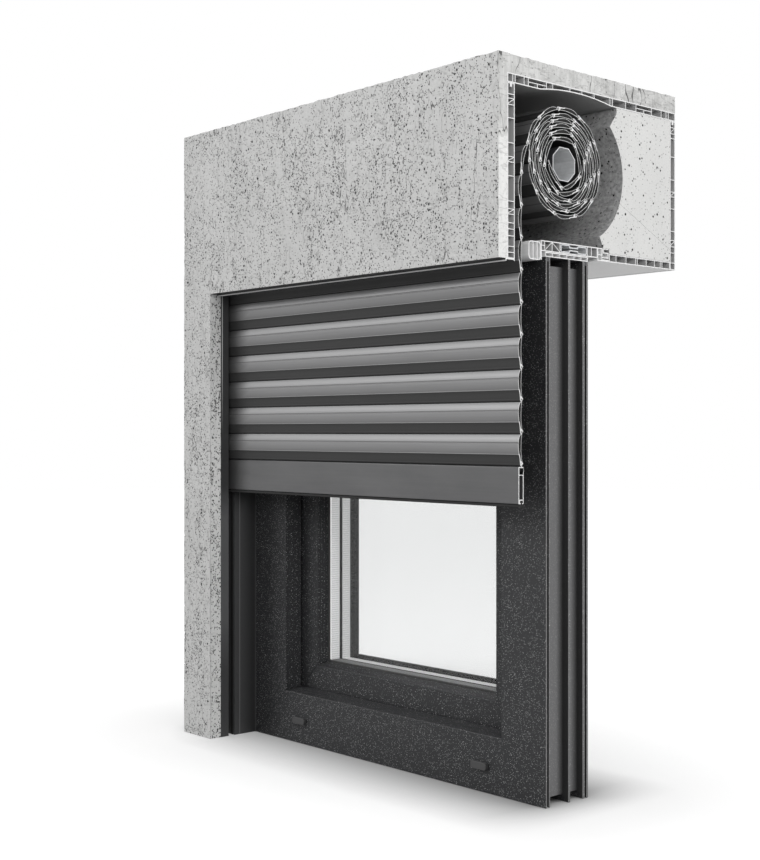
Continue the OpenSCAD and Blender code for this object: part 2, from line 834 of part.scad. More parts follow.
// Hollow extension of the window frame that carries the guide rail
module frame_extension() {
    y1 = frame_set + frame_depth;
    w = 3;
    color(anthracite_c) seat() difference() {
        linear_extrude(window_h) difference() {
            box2([0, frame_set], [frame_x0 - 0.1, y1]);
            for (i = [0:2])
                box2([w + i * (frame_x0 - w) / 3, frame_set + w],
                    [(i + 1) * (frame_x0 - w) / 3, y1 - w]);
        }
        rail_holes() cylinder(r = screw_r + 0.02, h = 32, center = true, $fn = 24);
    }
}

// WINDOW

groove_d = 3;
groove_w = 3;

// Lays a section, drawn from the window's outer edge inwards and from its front back,
// along one side of the window and cuts it to its mitres, each short by a saw cut
module side_bar(side, cut = 0) {
    big = 2 * frame_depth;
    far = min(window_h, frame_x1 - frame_x0) / 2 - 1;
    w = frame_x1 - frame_x0;
    intersection() {
        translate([frame_x0, frame_set, 0]) {
            if (side == "left") linear_extrude(window_h) children();
            if (side == "right")
                translate([w, 0, 0]) mirror([1, 0, 0]) linear_extrude(window_h) children();
            if (side == "bottom")
                rotate([90, 0, 90]) linear_extrude(w) mirror([1, -1]) children();
            if (side == "top") translate([0, 0, window_h]) mirror([0, 0, 1])
                rotate([90, 0, 90]) linear_extrude(w) mirror([1, -1]) children();
        }
        translate([frame_x0, frame_set + big, 0]) rotate([90, 0, 0]) linear_extrude(2 * big) {
            if (side == "left") polygon([[0, cut], [far, far + cut],
                [far, window_h - far - cut], [0, window_h - cut]]);
            if (side == "right") polygon([[w, cut], [w - far, far + cut],
                [w - far, window_h - far - cut], [w, window_h - cut]]);
            if (side == "bottom") polygon([[0, 0], [w, 0], [w - far, far], [far, far]]);
            if (side == "top") polygon([[0, window_h], [far, window_h - far],
                [w - far, window_h - far], [w, window_h]]);
        }
    }
}

module all_sides(cut = 0) {
    for (side = ["left", "right", "bottom", "top"]) side_bar(side, cut) children();
}

// Frame section: grooves and recesses outside, sloped lip in front, chambers
module frame_section() {
    d = frame_depth;
    g1 = d - groove_d - groove_w;
    rib0 = 0.53 * d;
    rib1 = rib0 + 3.5;
    difference() {
        union() {
            polygon([[0, 0], [frame_face, 0], [frame_face + 4, lip_d], [0, lip_d]]);
            box2([0, lip_d - 1], [rebate_w, d]);
        }
        box2([-1, groove_d], [12, groove_d + groove_w]);
        box2([-1, g1], [12, g1 + groove_w]);
        box2([-1, groove_d + groove_w + 2.2], [9, rib0]);
        box2([-1, rib1], [9, g1 - 4]);
        box2([15, 3], [frame_face - 4, lip_d - 3]);
        box2([15, lip_d], [rebate_w - 3, rib0]);
        box2([15, rib0 + 3], [rebate_w - 3, d - 3]);
    }
}

module frame_left() { color(anthracite_c) seat() side_bar("left") frame_section(); }
module frame_right() { color(anthracite_c) seat() side_bar("right") frame_section(); }
module frame_top() { color(anthracite_c) seat() side_bar("top") frame_section(); }
module frame_bottom() { color(anthracite_c) seat() side_bar("bottom") frame_section(); }

// Caps over the drain slots in the bottom of the frame
cap_w = 26;
cap_h = 5;
module drain_caps() {
    mid = (frame_x0 + frame_x1) / 2;
    color(anthracite_c) seat() for (s = [-1, 1])
        translate([mid + s * drain_half, frame_set, 0.46 * frame_face]) rotate([90, 0, 0]) {
            difference() {
                linear_extrude(cap_h) round_box([-cap_w / 2, -4.6], [cap_w / 2, 4.6], 3);
                // Outlet, open downwards
                translate([-cap_w / 2 + 3, -6, 1]) cube([cap_w - 6, 5, cap_h - 2.2]);
            }
        }
}

// Seal on the back of the frame's lip
module frame_gasket() {
    color(rubber_c) seat() all_sides()
        box2([frame_face - 8, lip_d], [frame_face - 3, sash_d - fit]);
}

// Sash section: flat front, bevel to the glass, rebate, lip on the room side, chambers
module sash_section() {
    difference() {
        polygon([[sash_out, sash_d], [sash_edge, sash_d],
            [sash_edge + bevel_w, sash_d + bevel_d], [glass_edge - 3, sash_d + bevel_d],
            [glass_edge - 3, sash_back], [sash_lip, sash_back],
            [sash_lip, frame_depth + lip_gap], [sash_out, frame_depth + lip_gap]]);
        box2([sash_out + sash_wall, sash_d + sash_wall],
            [glass_edge - 2 * sash_wall, sash_d + sash_mid - sash_wall]);
        box2([sash_out + sash_wall, sash_d + sash_mid],
            [glass_edge - 2 * sash_wall, frame_depth - sash_wall - 1]);
        box2([sash_lip + sash_wall, frame_depth + lip_gap + sash_wall],
            [glass_edge - 2 * sash_wall, sash_back - sash_wall]);
    }
}

module sash_left() { color(anthracite_c) seat() side_bar("left") sash_section(); }
module sash_top() { color(anthracite_c) seat() side_bar("top") sash_section(); }
module sash_bottom() { color(anthracite_c) seat() side_bar("bottom") sash_section(); }

// The lock side also has the hole for the handle's spindle
module sash_right() {
    color(anthracite_c) seat() difference() {
        side_bar("right") sash_section();
        translate([handle_x, y_sash_back + 1, handle_z]) rotate([90, 0, 0])
            cylinder(r = spindle_r, h = spindle_h);
    }
}

// Three panes
module glass_panes() {
    color(glass_c) seat() for (i = [0:2])
        translate([frame_x0 + glass_edge, frame_set + glass_d + i * (pane_t + cavity), glass_edge])
            cube([frame_x1 - frame_x0 - 2 * glass_edge, pane_t, window_h - 2 * glass_edge]);
}

// Spacer bars between the panes, with the row of small holes left to the finish
module glass_spacers() {
    color([0.78, 0.79, 0.80]) seat() for (i = [0, 1])
        all_sides() box2([glass_edge + 6, glass_d + pane_t + i * (pane_t + cavity)],
            [glass_edge + 16.5, glass_d + pane_t + cavity + i * (pane_t + cavity)]);
}

// Beads that hold the glass from the room side
module glazing_beads() {
    color(anthracite_c) seat() all_sides(0.15)
        polygon([[glass_edge - 2.9, bead_d], [sash_edge + bead_up, bead_d],
            [sash_edge + bead_up - 1, sash_back - 4], [sash_edge + bead_up - bevel_w, sash_back],
            [glass_edge - 2.9, sash_back]]);
}

// Seal between the sash and the outer pane
module glazing_gasket() {
    color([0.42, 0.43, 0.44]) seat() all_sides()
        polygon([[sash_edge - 3, sash_d + bevel_d], [sash_edge + bevel_w + 0.8, sash_d + bevel_d],
            [sash_edge + bevel_w + 1.6, glass_d], [sash_edge - 3, glass_d]]);
}

// HINGES AND HANDLE

// Places of the two hinges on the turning axis
module hinges() {
    for (z = [0.22, 0.78]) translate([hinge_x, hinge_y, z * window_h]) children();
}

// Leaf on the frame, with its lower knuckle and the pin
module hinge_frame_leaves() {
    y_face = frame_set + frame_depth - hinge_y;
    color(steel_c) seat() hinges() {
        cylinder(r = hinge_r, h = hinge_h);
        cylinder(r = pin_r, h = 2 * hinge_h);
        translate([-hinge_r, y_face, 0]) cube([hinge_r - 1, -y_face, hinge_h]);
        translate([-leaf_w, y_face, -leaf_over])
            cube([leaf_w - 2, leaf_t, hinge_h + 2 * leaf_over]);
    }
}

// Leaf on the sash, with the upper knuckle that turns on the pin
module hinge_sash_leaves() {
    y_face = y_sash_back - hinge_y;
    color(steel_c) seat() hinges() translate([0, 0, hinge_h + hinge_gap]) difference() {
        union() {
            cylinder(r = hinge_r, h = hinge_h);
            translate([0, -hinge_r + 3, 0]) cube([14, hinge_r - 1, hinge_h]);
            translate([9, y_face, -leaf_over / 2])
                cube([leaf_w, leaf_t + 1, hinge_h + leaf_over]);
        }
        translate([0, 0, -1]) cylinder(r = pin_r + run_gap, h = hinge_h + 2);
    }
}

// Places on the handle's turning axis, which points to the room
module handle_axis() {
    translate([handle_x, y_sash_back, handle_z]) rotate([-90, 0, 0]) children();
}

module handle_rosette() {
    color(steel_c) seat() handle_axis() difference() {
        linear_extrude(rosette_t)
            round_box([-rosette_w / 2, -rosette_h / 2], [rosette_w / 2, rosette_h / 2], rosette_w / 2 - 0.1);
        translate([0, 0, -1]) cylinder(r = lever_neck_r + run_gap, h = rosette_t + 2);
    }
}

// Lever: neck in the rosette, bar hanging down
module handle_lever() {
    z0 = rosette_t + fit;
    color(steel_c) seat() handle_axis() {
        translate([0, 0, 0.5]) cylinder(r = lever_neck_r, h = z0 + 2);
        translate([0, 0, z0]) cylinder(r = lever_r, h = lever_out);
        hull() {
            translate([0, 0, z0 + lever_out - 6]) cylinder(r = lever_r, h = lever_t);
            translate([0, lever_len, z0 + lever_out - 4]) cylinder(r = lever_r - 2, h = lever_t - 3);
        }
    }
}

facade_plaster();
top_mortar();
edge_bead();
box_front_profile();
box_top_profile();
box_back_profile();
inspection_cover();
insulation_main();
insulation_wedge();
adapter_profile();
roll_off_profile();
steel_strip();
clip_rail();
lock_profile();
end_cap();
drive_bracket();
tubular_drive();
tube_adapters();
roller_tube();
hanger_straps();
wound_slats();
feed_slat(1);  // feed_slat_1
feed_slat(2);  // feed_slat_2
feed_slat(3);  // feed_slat_3
feed_slat(4);  // feed_slat_4
slat(1);  // slat_1
slat(2);  // slat_2
slat(3);  // slat_3
slat(4);  // slat_4
slat(5);  // slat_5
slat(6);  // slat_6
slat(7);  // slat_7
slat(8);  // slat_8
slat(9);  // slat_9
bottom_bar();
bottom_seal();
guide_rail();
rail_brushes();
rail_screws();
frame_extension();
frame_left();
frame_right();
frame_top();
frame_bottom();
drain_caps();
frame_gasket();
sash_left();
sash_right();
sash_top();
sash_bottom();
glass_panes();
glass_spacers();
glazing_beads();
glazing_gasket();
hinge_frame_leaves();
hinge_sash_leaves();
handle_rosette();
handle_lever();
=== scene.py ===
import functools
import math

import bpy
import numpy as np
from bpy.props import FloatProperty, FloatVectorProperty, PointerProperty
from mathutils.geometry import tessellate_polygon
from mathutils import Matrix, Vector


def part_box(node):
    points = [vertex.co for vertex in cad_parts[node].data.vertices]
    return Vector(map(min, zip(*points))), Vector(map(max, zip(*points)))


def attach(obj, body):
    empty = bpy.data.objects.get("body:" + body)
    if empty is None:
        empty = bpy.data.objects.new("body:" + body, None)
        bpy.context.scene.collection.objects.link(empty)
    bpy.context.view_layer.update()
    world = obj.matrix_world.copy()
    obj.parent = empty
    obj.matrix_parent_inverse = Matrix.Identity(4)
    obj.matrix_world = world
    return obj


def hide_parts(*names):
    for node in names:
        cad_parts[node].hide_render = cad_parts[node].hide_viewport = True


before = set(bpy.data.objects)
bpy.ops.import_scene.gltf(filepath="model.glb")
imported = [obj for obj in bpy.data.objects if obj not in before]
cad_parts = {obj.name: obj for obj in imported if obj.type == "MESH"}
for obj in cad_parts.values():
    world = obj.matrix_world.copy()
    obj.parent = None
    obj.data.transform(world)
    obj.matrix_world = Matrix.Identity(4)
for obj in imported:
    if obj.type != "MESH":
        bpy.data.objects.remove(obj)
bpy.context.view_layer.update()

bl_info = {
    "name": "Cut-away Roller Shutter",
    "version": (1, 0, 0),
    "blender": (4, 5, 0),
    "location": "View3D > Sidebar > Shutter",
    "description": "Finishes, relief and stage for a cut-away sample of a roller shutter with its window",
    "category": "Object",
}

MM = 0.001
NEAR = 1e-6
CUT_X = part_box("facade_plaster")[1].x

# A slat in millimetres: distance of its hooks, outer radius of the hook, radius of the bead; and the
# angle in degrees up to which its faces are shaded as one
PITCH = 37.5
HOOK = 2.6
BEAD = 1.4
SMOOTH_ANGLE = 28

# Stretches of a noise that runs along a level bar or an upright one
LEVEL = (0.03, 1, 1)
UPRIGHT = (1, 1, 0.03)

# Square lamps: setting with the power, place, target, side length, and whether the floor is lit too
LAMPS = {
    "key": ((2.1, 0.9, 1.35), (0.1, 0.0, 0.45), 1.4, True),
    "overhead": ((0.3, -0.6, 2.3), (0.0, 0.0, 0.4), 1.2, True),
    "side": ((2.6, -1.3, 1.2), (0.0, 0.0, 0.4), 1.2, False),
    "front": ((-3.3, -4.1, 3.2), (0.0, 0.0, 0.4), 2.6, False),
}
FLOOR_RADIUS = 9.0
SENSOR_WIDTH = 36.0


def corner_points(node):
    """The CAD node's vertices as one array."""
    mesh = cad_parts[node].data
    points = np.empty(len(mesh.vertices) * 3)
    mesh.vertices.foreach_get("co", points)
    return points.reshape(-1, 3)


def tube_axis():
    """The middle of the roller tube as y, z."""
    low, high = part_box("roller_tube")
    return np.array([(low.y + high.y) / 2, (low.z + high.z) / 2])


# Sizes and colours that a user would change


def grey(level):
    """A colour of three equal parts."""
    return (level,) * 3


def dim(base, factor):
    """A colour times a factor."""
    return [part * factor for part in base]


def colour(label, text, value):
    """A colour property in linear light."""
    return FloatVectorProperty(name=label, description=text, default=value, size=3, min=0, max=1,
                               subtype="COLOR")


def amount(label, text, value, unit="NONE"):
    """A number property that isn't below 0."""
    return FloatProperty(name=label, description=text, default=value, min=0, unit=unit, precision=5)


def length(label, text, value):
    """A length property in metres."""
    return amount(label, text, value, "LENGTH")


class RenderCoatSettings(bpy.types.PropertyGroup):
    """Rendered facade and the mortar bed on the box."""
    face: colour("Face", "Colour of the scratched render", (0.56, 0.56, 0.555))
    cut: colour("Cut", "Colour of the sawn end", (0.80, 0.80, 0.79))
    stain: colour("Stained Cut", "Colour of the sawn end's upper part", (0.60, 0.60, 0.59))
    stain_z: length("Stain Height", "Height above which the sawn end is grey", 0.785)
    # Pits: painted shade in pits and grooves and under the lintel; also the colour of the sawn end's cracks
    # and flecks
    pit: colour("Pits", "Colour in the depth of pits and grooves", grey(0.025))
    step: length("Grid Step", "Distance between grid lines of the relief", 1.44 * MM)
    pit_depth: length("Pit Depth", "Depth of the torn-out grains", 1.0 * MM)
    groove_depth: length("Groove Depth", "Depth of the dragged grooves", 0.8 * MM)
    wave: length("Wave", "Unevenness left by the float", 0.5 * MM)
    ragged: length("Ragged Edge", "How far the top edge wanders", 1.8 * MM)


class BoxSettings(bpy.types.PropertyGroup):
    """Hollow profiles, insulation and adapter of the shutter box."""
    pvc: colour("Profile", "White of the hollow profiles", grey(0.80))
    # Inside: partly the box's grey inner skin, partly painted shade. Chambers and edge bead: painted shade
    inside: colour("Inside", "Grey inner skin of the box", grey(0.29))
    chamber: colour("Chambers", "Chambers of the hollow profiles, away from the sawn end", grey(0.43))
    edge: colour("Edge Bead", "Angle along the lintel's lower edge", (0.035, 0.035, 0.036))
    foam: colour("Foam", "Cut face of the insulation", (0.69, 0.69, 0.68))
    # Foam hollow: painted shade of the moulded hollow
    hollow: colour("Foam Hollow", "Moulded hollow of the insulation", grey(0.36))
    steel: colour("Steel", "Galvanised steel and roller tube", (0.68, 0.69, 0.70))
    drive: colour("Drive", "Housing of the tubular drive", (0.05, 0.05, 0.055))
    plastic: colour("Plastic", "Moulded adapters and straps", (0.12, 0.12, 0.125))


class CurtainSettings(bpy.types.PropertyGroup):
    """Slats, bottom bar and guide rail."""
    slat: colour("Slats", "Coating of the slats", (0.20, 0.20, 0.202))
    # Rolled slats: painted shade, a darker copy of the slat coating for the slats in the box
    roll: colour("Rolled Slats", "Coating of the slats in the box", (0.10, 0.10, 0.101))
    bar: colour("Bottom Bar", "Coating of the bottom bar", (0.074, 0.074, 0.076))
    cut: colour("Cut Slats", "Bare metal of the sawn slats", grey(0.72))
    rail: colour("Guide Rail", "Coating of the guide rail", (0.058, 0.0585, 0.06))
    seal: colour("Seals", "Rubber and pile seals", grey(0.012))
    core: colour("Core", "Foam that fills the slats", grey(0.006))
    screw: colour("Screws", "Steel of the rail's screws", grey(0.4))
    crease: length("Crease Ledge", "Width of the ledge above the slat's undercut", 0.4 * MM)
    fold: length("Fold Line", "Depth of the fold line across the slat's face", 0.65 * MM)


class WindowSettings(bpy.types.PropertyGroup):
    """Window frame, sash and glazing."""
    foil: colour("Foil", "Anthracite finish of frame and sash", (0.021, 0.0215, 0.023))
    sparkle: colour("Sparkle", "Bright flakes in the finish", grey(0.75))
    bare: colour("Bare Edge", "Frame's outer edge, which has no foil", (0.135, 0.135, 0.137))
    cap: colour("Drain Caps", "Moulded caps on the drain slots", (0.032, 0.032, 0.033))
    gasket: colour("Gasket", "Rubber of frame and glazing", grey(0.05))
    glass: colour("Glass", "Tint of the panes", (0.885, 0.888, 0.888))
    spacer: colour("Spacers", "Spacer bars between the panes", grey(0.88))
    fitting: colour("Fittings", "Handle and hinges", grey(0.60))


class StageSettings(bpy.types.PropertyGroup):
    """Camera, lamps and floor."""
    eye: FloatVectorProperty(name="Camera", description="Place of the camera", size=3,
                             default=(1.4262, -1.3293, 0.4439), subtype="TRANSLATION", unit="LENGTH")
    turn: FloatProperty(name="Turn", description="Angle of the view from the facade's own",
                        default=math.radians(48.37), subtype="ANGLE", unit="ROTATION")
    lens: FloatProperty(name="Lens", description="Focal length", default=58.77, min=1, unit="CAMERA")
    shift: FloatProperty(name="Shift", description="Upward shift of the lens", default=0.002)
    floor: colour("Floor", "Pale floor", grey(0.80))
    glow: amount("Floor Glow", "Light that the floor adds away from the sample", 0.6)
    key: amount("Key", "Power of the large lamp at the right", 12.0, "POWER")
    front: amount("Front", "Power of the lamp in front", 205.0, "POWER")
    side: amount("Side", "Power of the lamp at the right in front", 38.0, "POWER")
    overhead: amount("Overhead", "Power of the lamp above", 14.0, "POWER")
    sky: amount("Surround", "Strength of the soft surrounding light", 0.36)


# Shader nodes


class Field:
    """A value that varies over a surface: a node's output, whose arithmetic adds Math nodes to its tree."""

    def __init__(self, socket):
        self.socket = socket
        self.tree = socket.id_data

    def __add__(self, other):
        return calc("ADD", self, other)

    def __sub__(self, other):
        return calc("SUBTRACT", self, other)

    def __rsub__(self, other):
        return calc("SUBTRACT", other, self)

    def __mul__(self, other):
        return calc("MULTIPLY", self, other)

    def __truediv__(self, other):
        return calc("DIVIDE", self, other)

    def __gt__(self, other):
        return calc("GREATER_THAN", self, other)

    def __lt__(self, other):
        return calc("LESS_THAN", self, other)

    def __abs__(self):
        return calc("ABSOLUTE", self)


def give(socket, value):
    """Links a field to an input, or sets the input to a number, a vector or a colour of three numbers."""
    if isinstance(value, Field):
        value.tree.links.new(value.socket, socket)
    elif socket.type == "RGBA":
        socket.default_value = (*value, 1.0)
    else:
        socket.default_value = value


def feed(node, **sockets):
    """Gives a node's inputs their values; an input's name has _ for a space."""
    for name, value in sockets.items():
        give(node.inputs[name.replace("_", " ")], value)


def put(tree, kind, props=None, **sockets):
    """Adds a node, sets its properties and feeds its inputs."""
    made = tree.nodes.new(kind)
    for name, value in (props or {}).items():
        setattr(made, name, value)
    feed(made, **sockets)
    return made


def calc(operation, *values):
    """One Math node, in the tree of the first field among its values."""
    tree = next(value.tree for value in values if isinstance(value, Field))
    made = put(tree, "ShaderNodeMath", {"operation": operation})
    for socket, value in zip(made.inputs, values):
        give(socket, value)
    return Field(made.outputs[0])


def most(*values):
    """The highest of several values."""
    return functools.reduce(functools.partial(calc, "MAXIMUM"), values)


def distance(a, b):
    """Length of the line that goes a along one axis and b along another."""
    return calc("SQRT", a * a + b * b)


def spread(value, low, high, to_low=0.0, to_high=1.0):
    """Maps low..high to to_low..to_high, held at both ends."""
    made = put(value.tree, "ShaderNodeMapRange", Value=value, From_Min=low, From_Max=high, To_Min=to_low,
               To_Max=to_high)
    return Field(made.outputs[0])


def blend(factor, a, b):
    """Mixes two colours, each a field or three numbers."""
    made = put(factor.tree, "ShaderNodeMix", {"data_type": "RGBA"})
    for place, value in ((0, factor), (6, a), (7, b)):
        give(made.inputs[place], value)
    return Field(made.outputs[2])


def voronoi(tree, vector, scale):
    """Cells: the distance from a cell's point, and two random numbers of the cell."""
    made = put(tree, "ShaderNodeTexVoronoi", Vector=vector, Scale=scale)
    pick = put(tree, "ShaderNodeSeparateColor", Color=Field(made.outputs["Color"])).outputs
    return Field(made.outputs["Distance"]), Field(pick[0]), Field(pick[1])


def noise(tree, vector, scale, **detail):
    """A cloudy noise."""
    return Field(put(tree, "ShaderNodeTexNoise", Vector=vector, Scale=scale, **detail).outputs[0])


def shared(build, inputs):
    """The node group with build's name, built once; its inputs are a vector and numbers with these names."""
    name = build.__name__.replace("_", " ").title()
    if name in bpy.data.node_groups:
        return bpy.data.node_groups[name]
    tree = bpy.data.node_groups.new(name, "ShaderNodeTree")
    tree.interface.new_socket("Vector", in_out="INPUT", socket_type="NodeSocketVector")
    for label in inputs:
        tree.interface.new_socket(label, in_out="INPUT", socket_type="NodeSocketFloat")
    tree.interface.new_socket("Value", in_out="OUTPUT", socket_type="NodeSocketFloat")
    start = tree.nodes.new("NodeGroupInput").outputs
    given = {label.lower(): Field(start[label]) for label in ("Vector", *inputs)}
    give(tree.nodes.new("NodeGroupOutput").inputs[0], build(tree, **given))
    return tree


def saw_cut(tree, vector):
    """Group: 1 on the sawn end of the sample, 0 elsewhere."""
    x = Field(put(tree, "ShaderNodeSeparateXYZ", Vector=vector).outputs[0])
    return spread(x, CUT_X - 0.25 * MM, CUT_X - 0.1 * MM)


def specks(tree, vector, cells, share, radius):
    """Group: round spots at random places; a share of the cells holds one, the radius is in cells."""
    away, chance, size = voronoi(tree, vector, cells)
    return (chance < share) * spread(away / (radius * spread(size, 0, 1, 0.35, 1)), 1.0, 0.7)


def grain(tree, vector, scale):
    """Group: layered noise from 0 to 1, on coordinates that the material has stretched."""
    return spread(noise(tree, vector, scale, Detail=4.0, Roughness=0.6), 0.3, 0.7)


def hairlines(tree, vector, scale, width):
    """Group: thin wandering lines, 1 where a noise passes one half and 0 past the width from there."""
    return spread(abs(noise(tree, vector, scale, Detail=3.0) - 0.5) / width, 0.4, 1.0, 1.0, 0.0)


class Finish:
    """A material under way: its tree, its shader and its Object coordinates."""

    def __init__(self, name, roughness, metallic=0.0, specular=0.5):
        self.material = bpy.data.materials.new(name)
        self.material.use_nodes = True
        self.tree = self.material.node_tree
        self.shader = self.tree.nodes["Principled BSDF"]
        self.coords = Field(self.tree.nodes.new("ShaderNodeTexCoord").outputs["Object"])
        feed(self.shader, Roughness=roughness, Metallic=metallic, Specular_IOR_Level=specular)

    def done(self, relief=None, **sockets):
        """The material, with the shader's inputs fed; a relief is height, depth in metres and strength."""
        if relief:
            height, depth, strength = relief
            made = put(self.tree, "ShaderNodeBump", Height=height, Distance=depth, Strength=strength)
            sockets["Normal"] = Field(made.outputs[0])
        feed(self.shader, **sockets)
        return self.material

    def axes(self):
        """The three coordinates."""
        made = put(self.tree, "ShaderNodeSeparateXYZ", Vector=self.coords)
        return [Field(socket) for socket in made.outputs]

    def attribute(self, name):
        """A number that the mesh holds at every vertex."""
        return Field(put(self.tree, "ShaderNodeAttribute", {"attribute_name": name}).outputs["Fac"])

    def place(self, build, stretch=None, **numbers):
        """A shared group, on coordinates that are scaled by axis where stretch is given."""
        coords = self.coords
        if stretch:
            coords = Field(put(self.tree, "ShaderNodeMapping", Vector=coords, Scale=stretch).outputs[0])
        sockets = {name.capitalize(): value for name, value in numbers.items()}
        group = {"node_tree": shared(build, list(sockets))}
        return Field(put(self.tree, "ShaderNodeGroup", group, Vector=coords, **sockets).outputs[0])

    def grain(self, scale, stretch=None):
        """Layered noise, the most used group."""
        return self.place(grain, stretch, scale=scale)

    def skinned(self, base, skins, but_sawn=True):
        """Base with each skin's colour where the skin's function says, but not on the sawn end."""
        for shade, where in skins:
            past = where(*self.axes())
            if but_sawn:
                past = past * (1.0 - self.place(saw_cut))
            base = blend(past, base, shade)
        return base


def render_finish(settings, jamb_x, lintel_z):
    """Scratched mineral render: painted shade darkens the torn grains and drag lines, the sawn end is pale
    and cracked.

    The side of the opening, below lintel_z at jamb_x, is rougher and paler, more so further down; the
    lintel's underside has painted shade."""
    made = Finish("scratched render", 0.95, specular=0.2)
    dragged, tall, scraped = (1, 1, 0.4), (1, 1, 0.8), (1, 1, 0.42)
    x, y, z = made.axes()
    inward = (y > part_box("facade_plaster")[0].y + 1.5 * MM) * (x > jamb_x - 0.3 * MM)
    reveal = inward * (z < lintel_z - 0.5 * MM)
    soffit = inward * (z < lintel_z + 0.5 * MM) - reveal
    swarm = made.grain(30.0, dragged)
    share = spread(swarm, 0.15, 0.95, 0.2, 0.9) + reveal * 0.45
    fine = made.place(specks, tall, cells=440.0, share=share, radius=0.57)
    coarse = made.place(specks, tall, cells=250.0, share=spread(swarm, 0.25, 1, 0, 0.5), radius=0.43)
    lines = made.place(hairlines, scraped, scale=60.0, width=0.009)
    gate = spread(made.grain(38.0, dragged), 0.42, 0.6)
    torn = most(fine, coarse, lines * gate * 0.8)
    sand = made.grain(620.0)
    face = blend(made.grain(14.0), dim(settings.face, 0.92), settings.face)
    face = blend(sand * 0.30, face, dim(settings.face, 0.55))
    # Paler on the side of the opening, more so further down from the lintel
    lightened = reveal * spread(z, lintel_z - 40 * MM, lintel_z - 240 * MM, 0.15, 0.75)
    face = blend(lightened, face, settings.cut)
    # Painted shade: torn pits, drag lines and the relief's pits go towards the pit colour, the lintel's
    # underside almost to it
    dark = most(torn * 0.95, made.attribute("pit") * 0.20, soffit * 0.93)
    face = blend(dark, face, settings.pit)
    height = sand * 0.25 + made.grain(95.0, dragged) * 1.7 - torn
    return made.done((height, 0.7 * MM, 0.8),
                     Base_Color=blend(made.place(saw_cut), face, sawn_render(made, settings)))


def sawn_render(made, settings):
    """Colour of the sawn end: white below, stained above, with upright streaks, cracks and dark grains."""
    streaks = made.grain(230.0, (1, 1, 0.14))
    blots = made.grain(60.0)
    cracks = made.place(hairlines, (1, 1, 0.3), scale=24.0, width=0.006)
    level = made.place(hairlines, (1, 0.25, 1), scale=70.0, width=0.02)
    flecks = made.place(specks, cells=260.0, share=0.22, radius=0.30)
    old = spread(made.axes()[2] + blots * (5 * MM), settings.stain_z, settings.stain_z + 4 * MM)
    base = blend(old, settings.cut, settings.stain)
    base = blend(streaks * spread(old, 0, 1, 0.12, 0.66), base, dim(settings.stain, 0.55))
    base = blend(blots * spread(old, 0, 1, 0.05, 0.48), base, settings.cut)
    marks = most(cracks * old, level * 0.25, flecks * spread(old, 0, 1, 0.25, 0.8))
    return blend(marks * 0.8, base, settings.pit)


def pvc_finish(settings, name="white profile", skins=(), sawn_white=True):
    """Extruded white plastic; each skin is a colour and the function that tells where it lies, but not on
    the sawn end."""
    made = Finish(name, 0.42, specular=0.4)
    drawn = made.grain(500.0, (0.02, 1, 1))
    base = blend(drawn, dim(settings.pvc, 0.93), settings.pvc)
    return made.done((drawn, 0.04 * MM, 0.5), Base_Color=made.skinned(base, skins, sawn_white),
                     Roughness=spread(drawn, 0, 1, 0.36, 0.50))


def foam_finish(settings):
    """Expanded foam: pressed beads and dark flecks on the cut, and painted shade in the moulded hollow: a
    mottled grey.
    """
    made = Finish("bead foam", 0.9, specular=0.2)
    beads = put(made.tree, "ShaderNodeTexVoronoi", {"feature": "DISTANCE_TO_EDGE"}, Vector=made.coords,
                Scale=230.0)
    seam = spread(Field(beads.outputs["Distance"]), 0.0, 0.10, 1.0, 0.0)
    flecks = made.place(specks, cells=140.0, share=0.8, radius=0.28)
    crumbs = made.place(specks, cells=260.0, share=0.6, radius=0.30)
    pale = blend(made.grain(20.0), dim(settings.foam, 0.95), settings.foam)
    hollow = blend(made.grain(210.0), dim(settings.hollow, 0.6), dim(settings.hollow, 1.35))
    body = blend(made.place(saw_cut), hollow, pale)
    body = blend(seam * 0.10, body, dim(settings.hollow, 0.5))
    return made.done((seam + flecks, 0.3 * MM, -0.5),
                     Base_Color=blend(most(flecks, crumbs * 0.55), body, grey(0.015)))


def metal_finish(name, base, roughness, metallic, flakes=0.0, along=(0.02, 1, 1), skins=()):
    """Rolled or drawn metal: fine lines along it, and zinc flakes where flakes is above 0."""
    made = Finish(name, roughness, metallic)
    lines = made.grain(900.0, along)
    shade = blend(lines, dim(base, 0.86), base)
    if flakes:
        shade = blend(voronoi(made.tree, made.coords, 160.0)[1] * flakes, shade, dim(base, 0.7))
    return made.done((lines, 0.03 * MM, 0.4), Base_Color=made.skinned(shade, skins),
                     Roughness=spread(lines, 0, 1, roughness - 0.06, roughness + 0.08))


